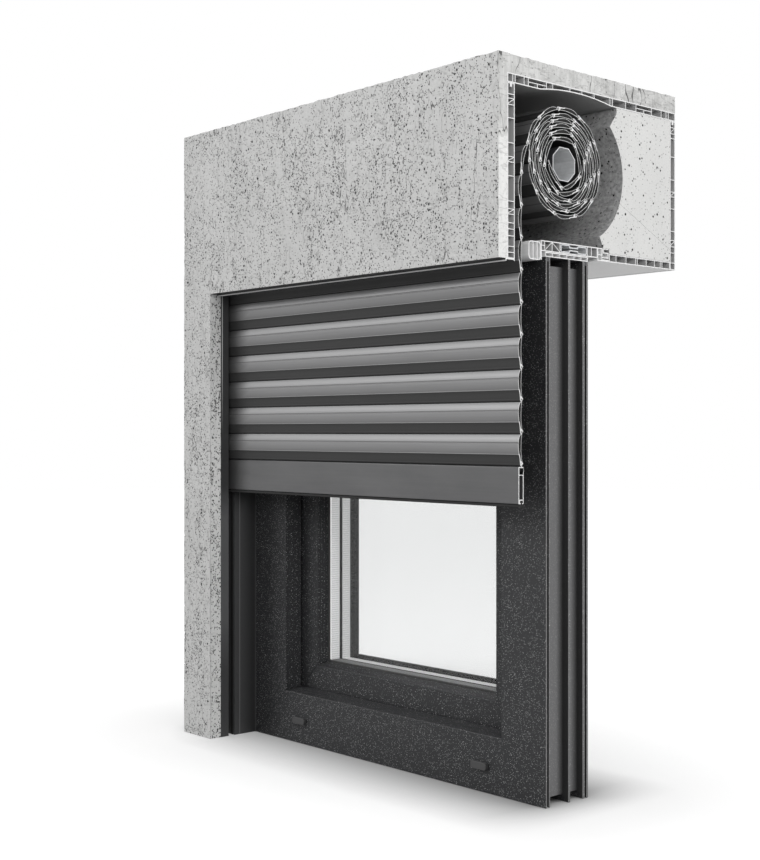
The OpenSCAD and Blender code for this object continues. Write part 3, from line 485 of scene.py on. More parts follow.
def slat_finish(settings, name, base, wound=False):
    """Coated slats: satin grey with faint rolling lines, with painted shade in the undercut and on the fold
    line, and a painted shadow of the guide rail near it.

    The sawn end is bare pale metal. The wound ones have painted shade where other layers lie over them."""
    covered, open_r, rail_shadow_width = 59 * MM, 63 * MM, 52 * MM
    made = Finish(name, 0.42, specular=0.4)
    lines = made.grain(700.0, (0.012, 1, 1))
    dust = made.grain(40.0, (0.25, 1, 1))
    cut = made.place(saw_cut)
    groove = made.attribute("groove")
    x, y, z = made.axes()
    coat = blend(lines, dim(base, 0.9), base)
    if wound:
        # Painted shade: towards the tube the wound slats go to the seal's dark colour, where other layers
        # lie over them
        away = distance(*(place - middle for place, middle in zip((y, z), tube_axis())))
        coat = blend(spread(away, open_r, covered), coat, settings.seal)
    coat = blend(dust * 0.06, coat, grey(0.4))
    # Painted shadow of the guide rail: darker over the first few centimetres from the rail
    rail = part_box("guide_rail")[1].x
    rail_shadow = spread(x, rail, rail + rail_shadow_width, 0.85, 0.0)
    # Painted shade: the undercut and fold line (the groove attribute) and the rail's painted shadow take the
    # seal's dark colour
    coat = blend(most(groove * 0.97, rail_shadow), coat, settings.seal)
    return made.done((lines, 0.02 * MM, 0.35), Base_Color=blend(cut, coat, settings.cut),
                     Roughness=spread(dust, 0, 1, 0.40, 0.46) + groove * 0.25 + cut * 0.3,
                     Metallic=spread(cut, 0, 1, 0.15, 0.0))


def rail_finish(settings, name, painted_shading=False):
    """Powder coat of the guide rail: fine orange peel and a few pale flakes.

    With painted_shading, the rail has painted shade where the curtain runs, with one pale edge there, and a
    painted sheen below that. Behind the slot it has painted shade again, with a faint line along it."""
    made = Finish(name, 0.40, specular=0.3)
    peel = made.grain(650.0)
    base = blend(peel, dim(settings.rail, 0.8), settings.rail)
    if painted_shading:
        low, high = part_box("guide_rail")
        x, y, z = made.axes()

        def along(place, start, start_mm, end_mm, *ends):
            return spread(place, start + start_mm * MM, start + end_mm * MM, *ends)

        def stripe(at, half):
            return (x > high.x - MM) * (abs(y - (low.y + at * MM)) < half * MM)

        # Painted sheen: lighter on the front from 100-170 mm up; painted shade: darker from 320-365 mm up
        # and behind the slot
        lightened = (y < low.y + 20 * MM) * along(z, low.z, 100, 170)
        base = blend(lightened, base, dim(settings.rail, 1.6))
        run = along(z, low.z, 320, 365, 0.0, 0.66)
        back = along(y, low.y, 34, 56, 0.0, 0.7)
        base = blend(most(run, back), base, dim(settings.rail, 0.1))
        base = blend(stripe(2.4, 0.75) * along(z, low.z, 440, 560), base, grey(0.4))
        base = blend(stripe(33.5, 0.6), base, grey(0.13))
    flakes = made.place(specks, cells=700.0, share=0.012, radius=0.30)
    return made.done((peel, 0.05 * MM, 0.35), Base_Color=blend(flakes, base, grey(0.3)),
                     Roughness=spread(peel, 0, 1, 0.36, 0.46))


def foil_finish(settings, name, along, bare=None, dark=None, specular=0.25):
    """Anthracite finish: dense dim flakes, a few bright ones, and a fine grain along the bar.

    bare is a function that tells where the profile has no foil, dark one that tells where it has painted
    shade."""
    made = Finish(name, 0.5, specular=specular)
    fibres = made.grain(600.0, along)
    flakes = made.place(specks, cells=800.0, share=0.2, radius=0.36)
    bright = most(flakes, made.place(specks, cells=820.0, share=0.30, radius=0.45) * 0.26)
    shade = blend(fibres, dim(settings.foil, 0.75), dim(settings.foil, 1.1))
    shade = blend(made.grain(9.0) * 0.25, shade, dim(settings.foil, 0.75))
    if bare:
        shade = blend(bare(*made.axes()), shade, settings.bare)
    shade = blend(bright * 0.75, shade, settings.sparkle)
    # Painted shade, nearly black, where dark says
    if dark:
        shade = blend(dark(*made.axes()), shade, dim(settings.gasket, 0.15))
    return made.done((fibres + bright, 0.06 * MM, 0.45), Base_Color=shade,
                     Roughness=spread(fibres, 0, 1, 0.42, 0.58))


def rubber_finish(name, base):
    """Matt rubber or pile."""
    made = Finish(name, 0.75, specular=0.3)
    skin = made.grain(1200.0)
    return made.done((skin, 0.08 * MM, 0.5), Base_Color=blend(skin, dim(base, 0.7), base))


def plastic_finish(name, base, roughness=0.5):
    """Moulded plastic with a fine eroded skin."""
    made = Finish(name, roughness)
    skin = made.grain(1400.0)
    return made.done((skin, 0.05 * MM, 0.4), Base_Color=blend(skin, dim(base, 0.85), base),
                     Roughness=spread(skin, 0, 1, roughness - 0.05, roughness + 0.08))


def glass_finish(settings):
    """Clear float glass with a trace of unevenness."""
    made = Finish("float glass", 0.0)
    tinted = blend(made.grain(5.0), dim(settings.glass, 0.995), settings.glass)
    return made.done(Base_Color=tinted, Transmission_Weight=1.0, IOR=1.2)


def spacer_finish(settings):
    """Spacer bars: pale metal with a row of fine slits and a dark seal at the middle pane, lit a little
    from within for the light that the panes lose. The outer bar at the bottom is grey."""
    made = Finish("spacer bar", 0.55)
    x, y, z = made.axes()
    low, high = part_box("glass_panes")
    middle = (low.y + high.y) / 2
    slit = calc("PINGPONG", x + z, 1.6 * MM) < 0.5 * MM
    lines = made.grain(600.0)
    shade = blend(lines, dim(settings.spacer, 0.92), settings.spacer)
    shade = blend(slit * 0.25, shade, grey(0.1))
    shade = blend(abs(y - middle) < 3.2 * MM, shade, settings.gasket)
    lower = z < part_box("glass_spacers")[0].z + 11 * MM
    shade = blend(lower * (y < middle), shade, grey(0.15))
    return made.done((lines, 0.03 * MM, 0.3), Base_Color=shade, Emission_Color=shade, Emission_Strength=0.35)


# Surfaces


def lattice_noise(u, v, seed):
    """Random numbers on the whole-number lattice, blended between lattice points with smooth steps."""
    size = 64
    table = np.random.default_rng(seed).random((size, size))
    i, j = np.floor(u).astype(int), np.floor(v).astype(int)
    a, b = u - i, v - j
    a, b = a * a * (3 - 2 * a), b * b * (3 - 2 * b)
    low = table[i % size, j % size] * (1 - a) + table[(i + 1) % size, j % size] * a
    high = table[i % size, (j + 1) % size] * (1 - a) + table[(i + 1) % size, (j + 1) % size] * a
    return low * (1 - b) + high * b


def layered_noise(u, v, seed, layers=3):
    """Sum of lattice noises, each of twice the frequency and half the weight of the one before, in 0..1."""
    total = sum(lattice_noise(u * 2 ** n, v * 2 ** n, seed + n) / 2 ** n for n in range(layers))
    return total / sum(0.5 ** n for n in range(layers))


def pit_field(u, v, seed, share):
    """1 at the centre of each pit, falling to 0 at its rim; one pit at most in each cell of the lattice."""
    count, none = 128, 9.0
    across, up, size, keep = np.random.default_rng(seed).random((4, count, count))
    i, j = np.floor(u).astype(int), np.floor(v).astype(int)
    nearest = np.full(u.shape, none)
    for di in (-1, 0, 1):
        for dj in (-1, 0, 1):
            a, b = (i + di) % count, (j + dj) % count
            away = np.hypot(i + di + across[a, b] - u, j + dj + up[a, b] - v) / (0.25 + 0.35 * size[a, b])
            nearest = np.minimum(nearest, np.where(keep[a, b] < share, away, none))
    return np.clip(1 - nearest, 0, 1)


def render_relief(x, z, settings):
    """Depth of the render below its plane, and how much painted shade it gets there, at places x, z of the
    facade.

    Depth = float waves (slow layered noise) + dragged grooves (narrow bands where a warped noise,
    stretched upwards, passes one half, shown only where a second noise is high) + torn pits (cell field).
    The noises are as long, across and up, as their divisors in millimetres."""
    x, z = x / MM, z / MM
    warp = layered_noise(x / 34, z / 48, 11)
    wave = layered_noise(x / 16, z / 22, 21)
    track = lattice_noise(x / 7.5 + 2.4 * warp, z / 42 + 1.3 * warp, 31)
    gate = np.clip((lattice_noise(x / 21, z / 33, 41) - 0.48) / 0.2, 0, 1)
    groove = np.exp(-((track - 0.5) / 0.045) ** 2) * gate
    clusters = np.clip(layered_noise(x / 26, z / 30, 51) * 1.7 - 0.5, 0, 1)
    pit = pit_field(x / 4.6, z / 4.6, 61, 0.42 * clusters)
    depth = settings.wave * wave + settings.groove_depth * groove + settings.pit_depth * pit
    return depth, np.clip(0.55 * groove + pit, 0, 1)


def grid_faces(rows, columns):
    """Quads of a grid of rows x columns points."""
    index = np.arange(rows * columns).reshape(rows, columns)
    return np.stack([index[:-1, :-1], index[:-1, 1:], index[1:, 1:], index[1:, :-1]], -1).reshape(-1, 4)


def skirt(rim, far):
    """Quads from each point of a closed rim to the point counted far behind it."""
    after = np.roll(rim, -1)
    return np.stack([rim, rim + far, after + far, after], -1)


def add_piece(name, points, faces, material, body, nodes=(), smooth=None):
    """Puts a surface into a mesh object at the origin and lets it ride on a body.

    It takes the place of nodes, and is shaded smooth up to an angle of smooth degrees."""
    mesh = bpy.data.meshes.new(name)
    mesh.from_pydata(points.reshape(-1, 3).tolist(), [], [list(face) for face in faces])
    mesh.update()
    mesh.materials.append(material)
    made = bpy.data.objects.new(name, mesh)
    bpy.context.scene.collection.objects.link(made)
    if smooth is not None:
        mesh.shade_smooth()
        mesh.set_sharp_from_angle(angle=math.radians(smooth))
    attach(made, body)
    if nodes:
        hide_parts(*nodes)
    return made


def add_mask(made, name, values):
    """Stores a number at every vertex, for the material to read."""
    made.data.attributes.new(name, "FLOAT", "POINT").data.foreach_set("value", values.astype(np.float32))


def dress(material, *nodes):
    """Gives CAD nodes a finish."""
    for node in nodes:
        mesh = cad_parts[node].data
        mesh.materials.clear()
        mesh.materials.append(material)


def soften(width, *nodes):
    """Breaks the sharp edges of CAD nodes: welded, flat faces joined, then bevelled by that width."""
    for node in nodes:
        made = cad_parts[node]
        made.modifiers.new("Weld", "WELD").merge_threshold = 0.002 * MM
        flat = made.modifiers.new("Flat", "DECIMATE")
        flat.decimate_type = "DISSOLVE"
        flat.angle_limit = math.radians(0.3)
        edge = made.modifiers.new("Edge", "BEVEL")
        edge.width = width
        edge.segments = 2
        edge.limit_method = "ANGLE"
        edge.angle_limit = math.radians(35)
        edge.use_clamp_overlap = True


# Operators


class SHUTTER_OT_stage(bpy.types.Operator):
    """Sets up the pale floor, the soft lamps, the white surround and the camera"""
    bl_idname = "shutter.stage"
    bl_label = "Stage"

    def execute(self, context):
        settings = context.scene.shutter_stage
        context.scene.view_settings.view_transform = "Standard"
        self.surround(context, settings)
        unlit = bpy.data.collections.new("unlit by side and front")
        unlit.objects.link(self.floor(context, settings))
        unlit.collection_objects[0].light_linking.link_state = "EXCLUDE"
        for name, (place, target, size, lights_floor) in LAMPS.items():
            made = self.lamp(context, name + " lamp", getattr(settings, name), place, target, size)
            if not lights_floor:
                made.light_linking.receiver_collection = unlit
        self.camera(context, settings)
        return {"FINISHED"}

    def camera(self, context, settings):
        """A level camera, turned towards the sawn end."""
        view = bpy.data.cameras.new("camera")
        view.sensor_width = SENSOR_WIDTH
        view.sensor_fit = "AUTO"
        view.lens = settings.lens
        view.shift_y = settings.shift
        made = bpy.data.objects.new("camera", view)
        made.location = settings.eye
        made.rotation_euler = (math.radians(90), 0, settings.turn)
        context.scene.collection.objects.link(made)
        context.scene.camera = made

    def lamp(self, context, name, power, place, target, size):
        """A square area lamp that faces its target."""
        light = bpy.data.lights.new(name, "AREA")
        light.energy = power
        light.size = size
        made = bpy.data.objects.new(name, light)
        away = np.array(place) - np.array(target)
        tilt = math.acos(away[2] / np.linalg.norm(away))
        made.location = place
        made.rotation_euler = (tilt, 0, math.atan2(away[1], away[0]) + math.pi / 2)
        context.scene.collection.objects.link(made)
        return made

    def seen(self, tree):
        """1 for rays from the camera, from gloss and through glass."""
        path = tree.nodes.new("ShaderNodeLightPath").outputs
        return most(*(Field(path["Is %s Ray" % kind]) for kind in ("Camera", "Glossy", "Transmission")))

    def surround(self, context, settings):
        """White where it is seen, a soft light otherwise."""
        world = bpy.data.worlds.new("surround")
        context.scene.world = world
        world.use_nodes = True
        tree = world.node_tree
        shown = spread(self.seen(tree), 0, 1, settings.sky, 1.0)
        feed(tree.nodes["Background"], Color=grey(1), Strength=shown)

    def floor(self, context, settings):
        """Round floor: white where the light falls freely, with the shadow of the sample and a painted
        shadow in front of the frame.
        """
        rings, spokes = 4, 65
        around = np.linspace(0, 2 * np.pi, spokes)
        reach = np.linspace(0.0, FLOOR_RADIUS, rings)[:, None]
        depth = np.full((rings, spokes), -0.3 * MM)
        points = np.stack([reach * np.cos(around), reach * np.sin(around), depth], -1)
        mesh = bpy.data.meshes.new("floor")
        mesh.from_pydata(points.reshape(-1, 3).tolist(), [], grid_faces(rings, spokes).tolist())
        made = bpy.data.objects.new("floor", mesh)
        context.scene.collection.objects.link(made)
        finish = Finish("pale floor", 0.9, specular=0.0)
        shown = self.seen(finish.tree)
        low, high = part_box("frame_bottom")
        sides = list(zip(finish.axes(), low, high))[:2]
        away = distance(*(most(start - place, place - end, 0.0) for place, start, end in sides))
        x = sides[0][0]
        # Painted shadow: the glow is low along the frame's front, lowest at its left end; painted light
        # raises it past the right end
        foot = spread(x, low.x, high.x, 0.14, 0.0) + spread(x, high.x - 0.02, high.x + 0.06, 0, 0.5)
        rise = (settings.glow - foot) * spread(away, 0.0, 0.13)
        glow = foot + rise + spread(away, 0.12, 0.7, 0, 0.34)
        # Painted shadow: the floor is darker as seen than as it lights, which deepens its shadow
        base = blend(shown, settings.floor, dim(settings.floor, 0.76))
        material = finish.done(Base_Color=base, Emission_Color=grey(1), Emission_Strength=shown * glow)
        mesh.materials.append(material)
        return made


class SHUTTER_OT_render_coat(bpy.types.Operator):
    """Builds the scratched render of the facade and the mortar bed on the box"""
    bl_idname = "shutter.render_coat"
    bl_label = "Render Coat"

    def execute(self, context):
        settings = context.scene.shutter_render
        points = corner_points("facade_plaster")
        jamb_x = points[points[:, 2] < points[:, 2].min() + MM][:, 0].max()
        lintel = points[points[:, 0] > jamb_x + MM]
        lintel_z, lintel_y = lintel[:, 2].min(), lintel[:, 1].max()
        material = render_finish(settings, jamb_x, lintel_z)
        self.facade(settings, material, jamb_x, lintel_z, lintel_y)
        self.mortar(material)
        return {"FINISHED"}

    def facade(self, settings, material, jamb_x, lintel_z, lintel_y):
        """Facade in an angle shape: a grid over lintel and jamb, sunk by render_relief.

        Sides and back are plain, and the top edge wanders by a layered noise along x."""
        low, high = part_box("facade_plaster")
        lump, mean = 6 * MM, 0.35
        columns = self.lines(low.x, jamb_x, high.x, settings.step)
        rows = self.lines(low.z, lintel_z, high.z, settings.step)
        x, z = np.meshgrid(columns, rows)
        depth, dark = render_relief(x, z, settings)
        z[-1] -= settings.ragged * (layered_noise(columns / lump, columns * 0, 71) - mean)
        front = np.stack([x, low.y + depth, z], -1)
        back = front.copy()
        back[..., 1] = np.where(x <= jamb_x + NEAR, high.y, lintel_y)
        front, back = front.reshape(-1, 3), back.reshape(-1, 3)
        faces = grid_faces(*x.shape)
        centre = front[faces].mean(1)
        faces = faces[(centre[:, 0] < jamb_x) | (centre[:, 2] > lintel_z)]
        step_x, step_z = int(np.argmin(abs(columns - jamb_x))), int(np.argmin(abs(rows - lintel_z)))
        index = np.arange(x.size).reshape(x.shape)
        rim = np.concatenate([index[0, :step_x], index[:step_z, step_x], index[step_z, step_x:-1],
                              index[step_z:-1, -1], index[-1, :0:-1], index[:0:-1, 0]])
        on_jamb = front[rim, 0] < jamb_x + NEAR
        jamb_back, lintel_back = rim[on_jamb], rim[~on_jamb]
        riser = np.array([index[step_z, step_x], index[-1, step_x], lintel_back[-1], lintel_back[0]])
        behind = [loop + x.size for loop in (jamb_back[::-1], lintel_back[::-1], riser)]
        loops = [*faces, *skirt(rim, x.size), *behind]
        flat, starts = np.concatenate(loops), np.cumsum([len(loop) for loop in loops])[:-1]
        used, flat = np.unique(flat, return_inverse=True)
        points = np.concatenate([front, back])[used]
        made = add_piece("render_facade", points, np.split(flat, starts), material, "base",
                         ["facade_plaster"])
        add_mask(made, "pit", np.concatenate([dark.ravel(), np.zeros(x.size)])[used])

    def lines(self, start, middle, end, step):
        """Grid lines from start to end, one of them at middle."""
        first, last = (np.linspace(a, b, max(2, round((b - a) / step) + 1))
                       for a, b in ((start, middle), (middle, end)))
        return np.concatenate([first, last[1:]])

    def mortar(self, material):
        """Mortar bed: a box whose top is a grid, lowered by layered noise away from the facade."""
        columns, rows, sink, lump, fade = 160, 80, 2.6 * MM, 9 * MM, 6 * MM
        low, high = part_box("top_mortar")
        x, y = np.meshgrid(np.linspace(low.x, high.x, columns), np.linspace(low.y, high.y, rows))
        dip = sink * layered_noise(x / lump, y / lump, 81, 4) * np.minimum(1, (y - low.y) / fade)
        top = np.stack([x, y, high.z - dip], -1)
        base = np.stack([x, y, np.full(x.shape, low.z)], -1)
        faces = grid_faces(*x.shape)
        index = np.arange(x.size).reshape(x.shape)
        rim = np.concatenate([index[0, :-1], index[:-1, -1], index[-1, :0:-1], index[:0:-1, 0]])
        faces = np.concatenate([faces, skirt(rim, x.size), faces[:, ::-1] + x.size])
        add_piece("mortar_bed", np.stack([top, base]), faces, material, "base", ["top_mortar"])


class SHUTTER_OT_box(bpy.types.Operator):
    """Finishes the box's hollow profiles, its insulation, the roller and the drive"""
    bl_idname = "shutter.box"
    bl_label = "Box and Roller"

    def execute(self, context):
        settings = context.scene.shutter_box
        front_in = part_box("box_front_profile")[1].y - 0.3 * MM
        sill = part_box("frame_top")[1].z + 0.1 * MM
        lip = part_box("edge_bead")[0]
        # Painted shade: the front's inner side and the top profile's underside take the inside grey; the
        # bead is near black but for its lip's front
        skins = {
            "box_front_profile": (settings.inside, lambda x, y, z: y > front_in),
            "box_top_profile": (settings.inside, self.ceiling),
            "edge_bead": (settings.edge, lambda x, y, z: most(y > lip.y + 1.25 * MM, z > lip.z + 1.3 * MM)),
        }
        # Painted shade: the hollow chambers of these profiles are grey, except on the sawn end
        across = {"box_front_profile": 1, "box_top_profile": 2, "box_back_profile": 1, "inspection_cover": 2,
                  "adapter_profile": 1}
        for node in dict.fromkeys([*across, *skins]):
            layers = [(settings.chamber, self.between(node, across[node]))] if node in across else []
            layers += [skins[node]] if node in skins else []
            dress(pvc_finish(settings, node, layers), node)
        feet = (settings.drive, lambda x, y, z: z < sill)
        dress(pvc_finish(settings, "clip_rail", [feet], False), "clip_rail")
        dress(pvc_finish(settings), "roll_off_profile", "lock_profile", "end_cap")
        dress(foam_finish(settings), "insulation_main", "insulation_wedge")
        zinc = (settings.steel, 0.45, 0.3, 0.35)
        dress(metal_finish("galvanised steel", *zinc), "steel_strip", "drive_bracket")
        # Painted shade: the outside of the roller tube is dark, where the wound slats shade it
        painted_shade_outside = (settings.drive, self.outside)
        dress(metal_finish("galvanised tube", *zinc, skins=[painted_shade_outside]), "roller_tube")
        dress(plastic_finish("drive housing", settings.drive, 0.45), "tubular_drive")
        dress(plastic_finish("moulded adapter", settings.plastic), "tube_adapters", "hanger_straps")
        return {"FINISHED"}

    def outside(self, x, y, z):
        """1 on the outside of the eight-sided tube: the longest reach along the normals of its flats."""
        axis, flats = tube_axis(), 8
        corners = corner_points("roller_tube")[:, 1:] - axis
        far = corners[np.argmax(np.hypot(*corners.T))]
        flat = np.hypot(*far) * math.cos(math.pi / flats)
        turns = math.atan2(far[1], far[0]) + math.pi * (2 * np.arange(flats // 2) + 1) / flats
        across, up = y - axis[0], z - axis[1]
        reach = most(*(abs(across * math.cos(turn) + up * math.sin(turn)) for turn in turns))
        return reach > flat - 0.4 * MM

    def ceiling(self, x, y, z):
        """1 on the underside of the top profile: a flat with an arch, the arch being a circle's cap."""
        height, rise, half, offset, skin = 5 * MM, 5.5 * MM, 64.5 * MM, 23 * MM, 0.5 * MM
        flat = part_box("box_top_profile")[0].z + height
        radius = (half ** 2 + rise ** 2) / (2 * rise)
        away = distance(y - (tube_axis()[0] + offset), z - (flat + rise - radius))
        return most(away < radius + skin, z < flat + skin)

    def between(self, node, axis):
        """A function that is 1 in a profile's hollow chambers: off the two outer faces across an axis."""
        low, high = (corner[axis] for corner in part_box(node))
        skin = 0.6 * MM
        return lambda *places: (places[axis] > low + skin) * (places[axis] < high - skin)


class SHUTTER_OT_curtain(bpy.types.Operator):
    """Builds every slat with its foam core, and finishes the bottom bar and its seal"""
    bl_idname = "shutter.curtain"
    bl_label = "Curtain"

    def execute(self, context):
        settings = context.scene.shutter_curtain
        coat = slat_finish(settings, "slat coating", settings.slat)
        shaded = slat_finish(settings, "roll coating", settings.roll, True)
        foam = rubber_finish("slat core", settings.core)
        loops, mask = self.section(settings)
        plain = np.zeros(sum(map(len, loops[1:])))
        for name, lower, upper, body, node in self.runs():
            ends = np.array([corner.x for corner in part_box(node)])
            finish = coat if body == "curtain" else shaded
            shell = self.carry(name + "_shell", loops, lower, upper, ends, finish, body, "slat", [node])
            add_mask(shell, "groove", np.tile(np.concatenate([mask, plain]), 2 * len(lower)))
            inside = ends + [0.1 * MM, -0.1 * MM]
            for part, loop in (("core", loops[1]), ("curl", loops[2])):
                filled = loop.mean(0) + (loop - loop.mean(0)) * [0.97, 0.99]
                self.carry(name + "_" + part, [filled], lower, upper, inside, foam, body, "seal")
        dress(slat_finish(settings, "bar coating", settings.bar), "bottom_bar")
        soften(0.35 * MM, "bottom_bar")
        dress(rubber_finish("seal rubber", settings.seal), "bottom_seal")
        return {"FINISHED"}

    def runs(self):
        """Name, lower hooks, upper hooks, body and CAD node of the wound slats, then of each other slat."""
        hooks = self.winding()
        feeding = len([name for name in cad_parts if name.startswith("feed_slat_")])
        hanging = len([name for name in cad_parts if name.startswith("slat_")])
        straight = hooks[0] - [0, PITCH] * np.arange(hanging + 1)[:, None]
        yield "wound", hooks[feeding:-1], hooks[feeding + 1:], "roller", "wound_slats"
        for k in range(feeding):
            name = "feed_%d" % (k + 1)
            yield name, hooks[k:k + 1], hooks[k + 1:k + 2], name, "feed_slat_%d" % (k + 1)
        for k in range(hanging):
            name = "slat_%d" % (k + 1)
            yield name, straight[k + 1:k + 2], straight[k:k + 1], "curtain", name

    def section(self, settings):
        """Loops of a slat's section in millimetres from its lower hook, u towards the room and v up.

        The front swells between a crease with a small ledge and the top, with a fold line across it; below
        the crease it is cut back to the hook. The back is hollow-ground, a curled bead on a neck stands on
        top, and an open ring at the foot takes the next slat's bead. Loops: outline, hollow, inside of the
        curl. The second value is painted shade along the outline: 1 along the undercut and its hook, and on
        the fold line, less below that."""
        top, crease, fold_v, foot = 34.5, 12.0, 24.75, 1.3
        bore, neck, wall, curl = 1.75, 0.3, 0.42, 0.5
        crease_u, swell, under_u, under_v, run, arch = 4.7, 9.0, 5.0, 0.66, 2.49, 0.9
        open_low, open_high, eye_back, eye_front = 258.6, 10.8, 67, 165.3
        neck_right, neck_left, curl_end = -77.6, 257.6, 340
        back_low, back_high = 2.55, top - 0.3
        ledge = settings.crease / MM

        def ring(centre, radius, start, end, n):
            turn = np.radians(np.linspace(start, end, n))
            return np.stack([radius * np.cos(turn), centre + radius * np.sin(turn)], -1)

        def front_u(v):
            t = (v - crease) / (top - crease)
            return -crease_u + (crease_u - HOOK) * t - swell * t * (1 - t) * (0.6 + 0.8 * t)

        def back_u(v):
            t = (v - foot) / (top - foot)
            return np.where(t < 0.5, 2.3, 1.2) * (2 * t - 1) ** 2 - 1

        v = np.linspace(back_low, back_high, 20)
        back = np.stack([back_u(v), v], -1)
        folded = fold_v + np.linspace(-1.1, 1.1, 9)
        v = np.unique(np.concatenate([np.linspace(crease, top, 30), folded]))[::-1]
        line, mark = (np.exp(-((v - fold_v) / width) ** 2) for width in (0.5, 0.75))
        front = np.stack([front_u(v) + settings.fold / MM * line, v], -1)
        # Painted shade: darker below the fold line towards the crease, and on the fold line itself
        painted_shading = np.maximum(0.42 * np.clip((fold_v - v) / (fold_v - crease), 0, 1) ** 2, mark)
        lip = [[-crease_u - ledge * out, crease - down]
               for out, down in ((0.8, 0.03), (1, 0.2), (1, 0.45), (0.7, 0.75))]
        v = np.linspace(crease - 1.0, 1.0, 12)
        t = (crease - v) / (crease - under_v)
        under = np.stack([-under_u + run * t + arch * np.sin(np.pi * t) * (1 - t), v], -1)
        outline = [(ring(0, HOOK, open_high, eye_back, 7), 0), (back, 0), ([[neck, back_high]], 0),
                   (ring(PITCH, BEAD, neck_right, neck_left, 22), 0), ([[-neck, top]], 0), (front, painted_shading),
                   (lip, 0), (under, 1), (ring(0, HOOK, eye_front, open_low, 12), 1),
                   (ring(0, bore, open_low, open_high, 26), 0)]
        mask = np.concatenate([np.broadcast_to(dark, len(part)) for part, dark in outline])
        v = np.linspace(HOOK + 1, top - wall, 14)
        inner_back = np.stack([back_u(v) - wall, v], -1)
        v = np.linspace(top - wall, crease + 0.6, 12)
        inner_front = np.stack([front_u(v) + wall, v], -1)
        hollow = np.concatenate([inner_back, inner_front, [[-3.0, crease - 1.4], [-1.6, HOOK + 1.3]]])
        shell = np.concatenate([part for part, _ in outline])
        return (shell, hollow, ring(PITCH, BEAD - curl, 0, curl_end, 18)), mask

    def winding(self):
        """Hooks from the straight curtain into the roll, as y, z in millimetres.

        Each slat is a chord of one pitch; behind the fourth the radius falls by one layer a turn, a wide
        layer first and then close ones that open a little towards the tube."""
        radius, even_slats, core = 65.7, 3, 26.65
        outer, layer, open_r, gain, slack = 8.2, 5.7, 52.0, 0.1, 0.46
        axis = tube_axis() / MM
        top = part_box("slat_1")[1]
        start = np.array([top.y / MM - HOOK, top.z / MM - BEAD])
        away = start - axis
        reach = np.hypot(*away)

        def pitch_angle(a, b):
            return math.acos((a ** 2 + b ** 2 - PITCH ** 2) / (2 * a * b))

        angle = math.pi + math.atan2(-away[1], -away[0]) - pitch_angle(reach, radius)
        hooks = [start]
        end = radius - outer + slack
        while radius >= core:
            hooks.append(axis + radius * np.array([math.cos(angle), math.sin(angle)]))
            step = outer if radius > end else layer + gain * max(0.0, open_r - radius)
            turn = 2 * math.asin(PITCH / 2 / radius) / math.tau
            after = radius if len(hooks) - 2 < even_slats else radius - step * turn
            angle -= pitch_angle(radius, after)
            radius = after
        return np.array(hooks)

    def carry(self, name, loops, lower, upper, ends, material, body, slot, nodes=()):
        """Loops laid between pairs of hooks and carried straight from end to end, as one piece.

        The first loop is the outline, the others are hollows in it. The ends are flat."""
        flat = np.concatenate(loops)
        up = (upper - lower) / np.linalg.norm(upper - lower, axis=1)[:, None]
        across = np.stack([up[:, 1], -up[:, 0]], -1)
        laid = lower[:, None] + flat[None, :, :1] * across[:, None] + flat[None, :, 1:] * up[:, None]
        slats, count = laid.shape[:2]
        points = np.empty((slats, 2, count, 3))
        points[..., 0] = ends[None, :, None]
        points[..., 1:] = laid[:, None] * MM
        starts = np.cumsum([0, *map(len, loops)])
        after = np.concatenate([np.roll(np.arange(a, b), -1) for a, b in zip(starts, starts[1:])])
        ring = np.arange(count)
        wall = np.stack([ring, after, after + count, ring + count], -1)
        lid = np.array(tessellate_polygon([[(u, v, 0) for u, v in loop] for loop in loops]))
        first = 2 * count * np.arange(slats)[:, None, None]
        sides = (first + wall).reshape(-1, 4).tolist()
        lids = (first + np.concatenate([lid, lid[:, ::-1] + count])).reshape(-1, 3).tolist()
        smooth = SMOOTH_ANGLE if nodes else None
        return add_piece(name, points, sides + lids, material, body, nodes, smooth)


class SHUTTER_OT_guide(bpy.types.Operator):
    """Finishes the guide rail, its seals and screws, and the frame extension behind it"""
    bl_idname = "shutter.guide"
    bl_label = "Guide Rail"

    def execute(self, context):
        settings = context.scene.shutter_curtain
        dress(rail_finish(settings, "rail coating", painted_shading=True), "guide_rail")
        dress(rail_finish(settings, "extension coating"), "frame_extension")
        soften(0.4 * MM, "guide_rail")
        dress(rubber_finish("pile strip", settings.seal), "rail_brushes")
        dress(metal_finish("screw steel", settings.screw, 0.35, 0.9), "rail_screws")
        return {"FINISHED"}


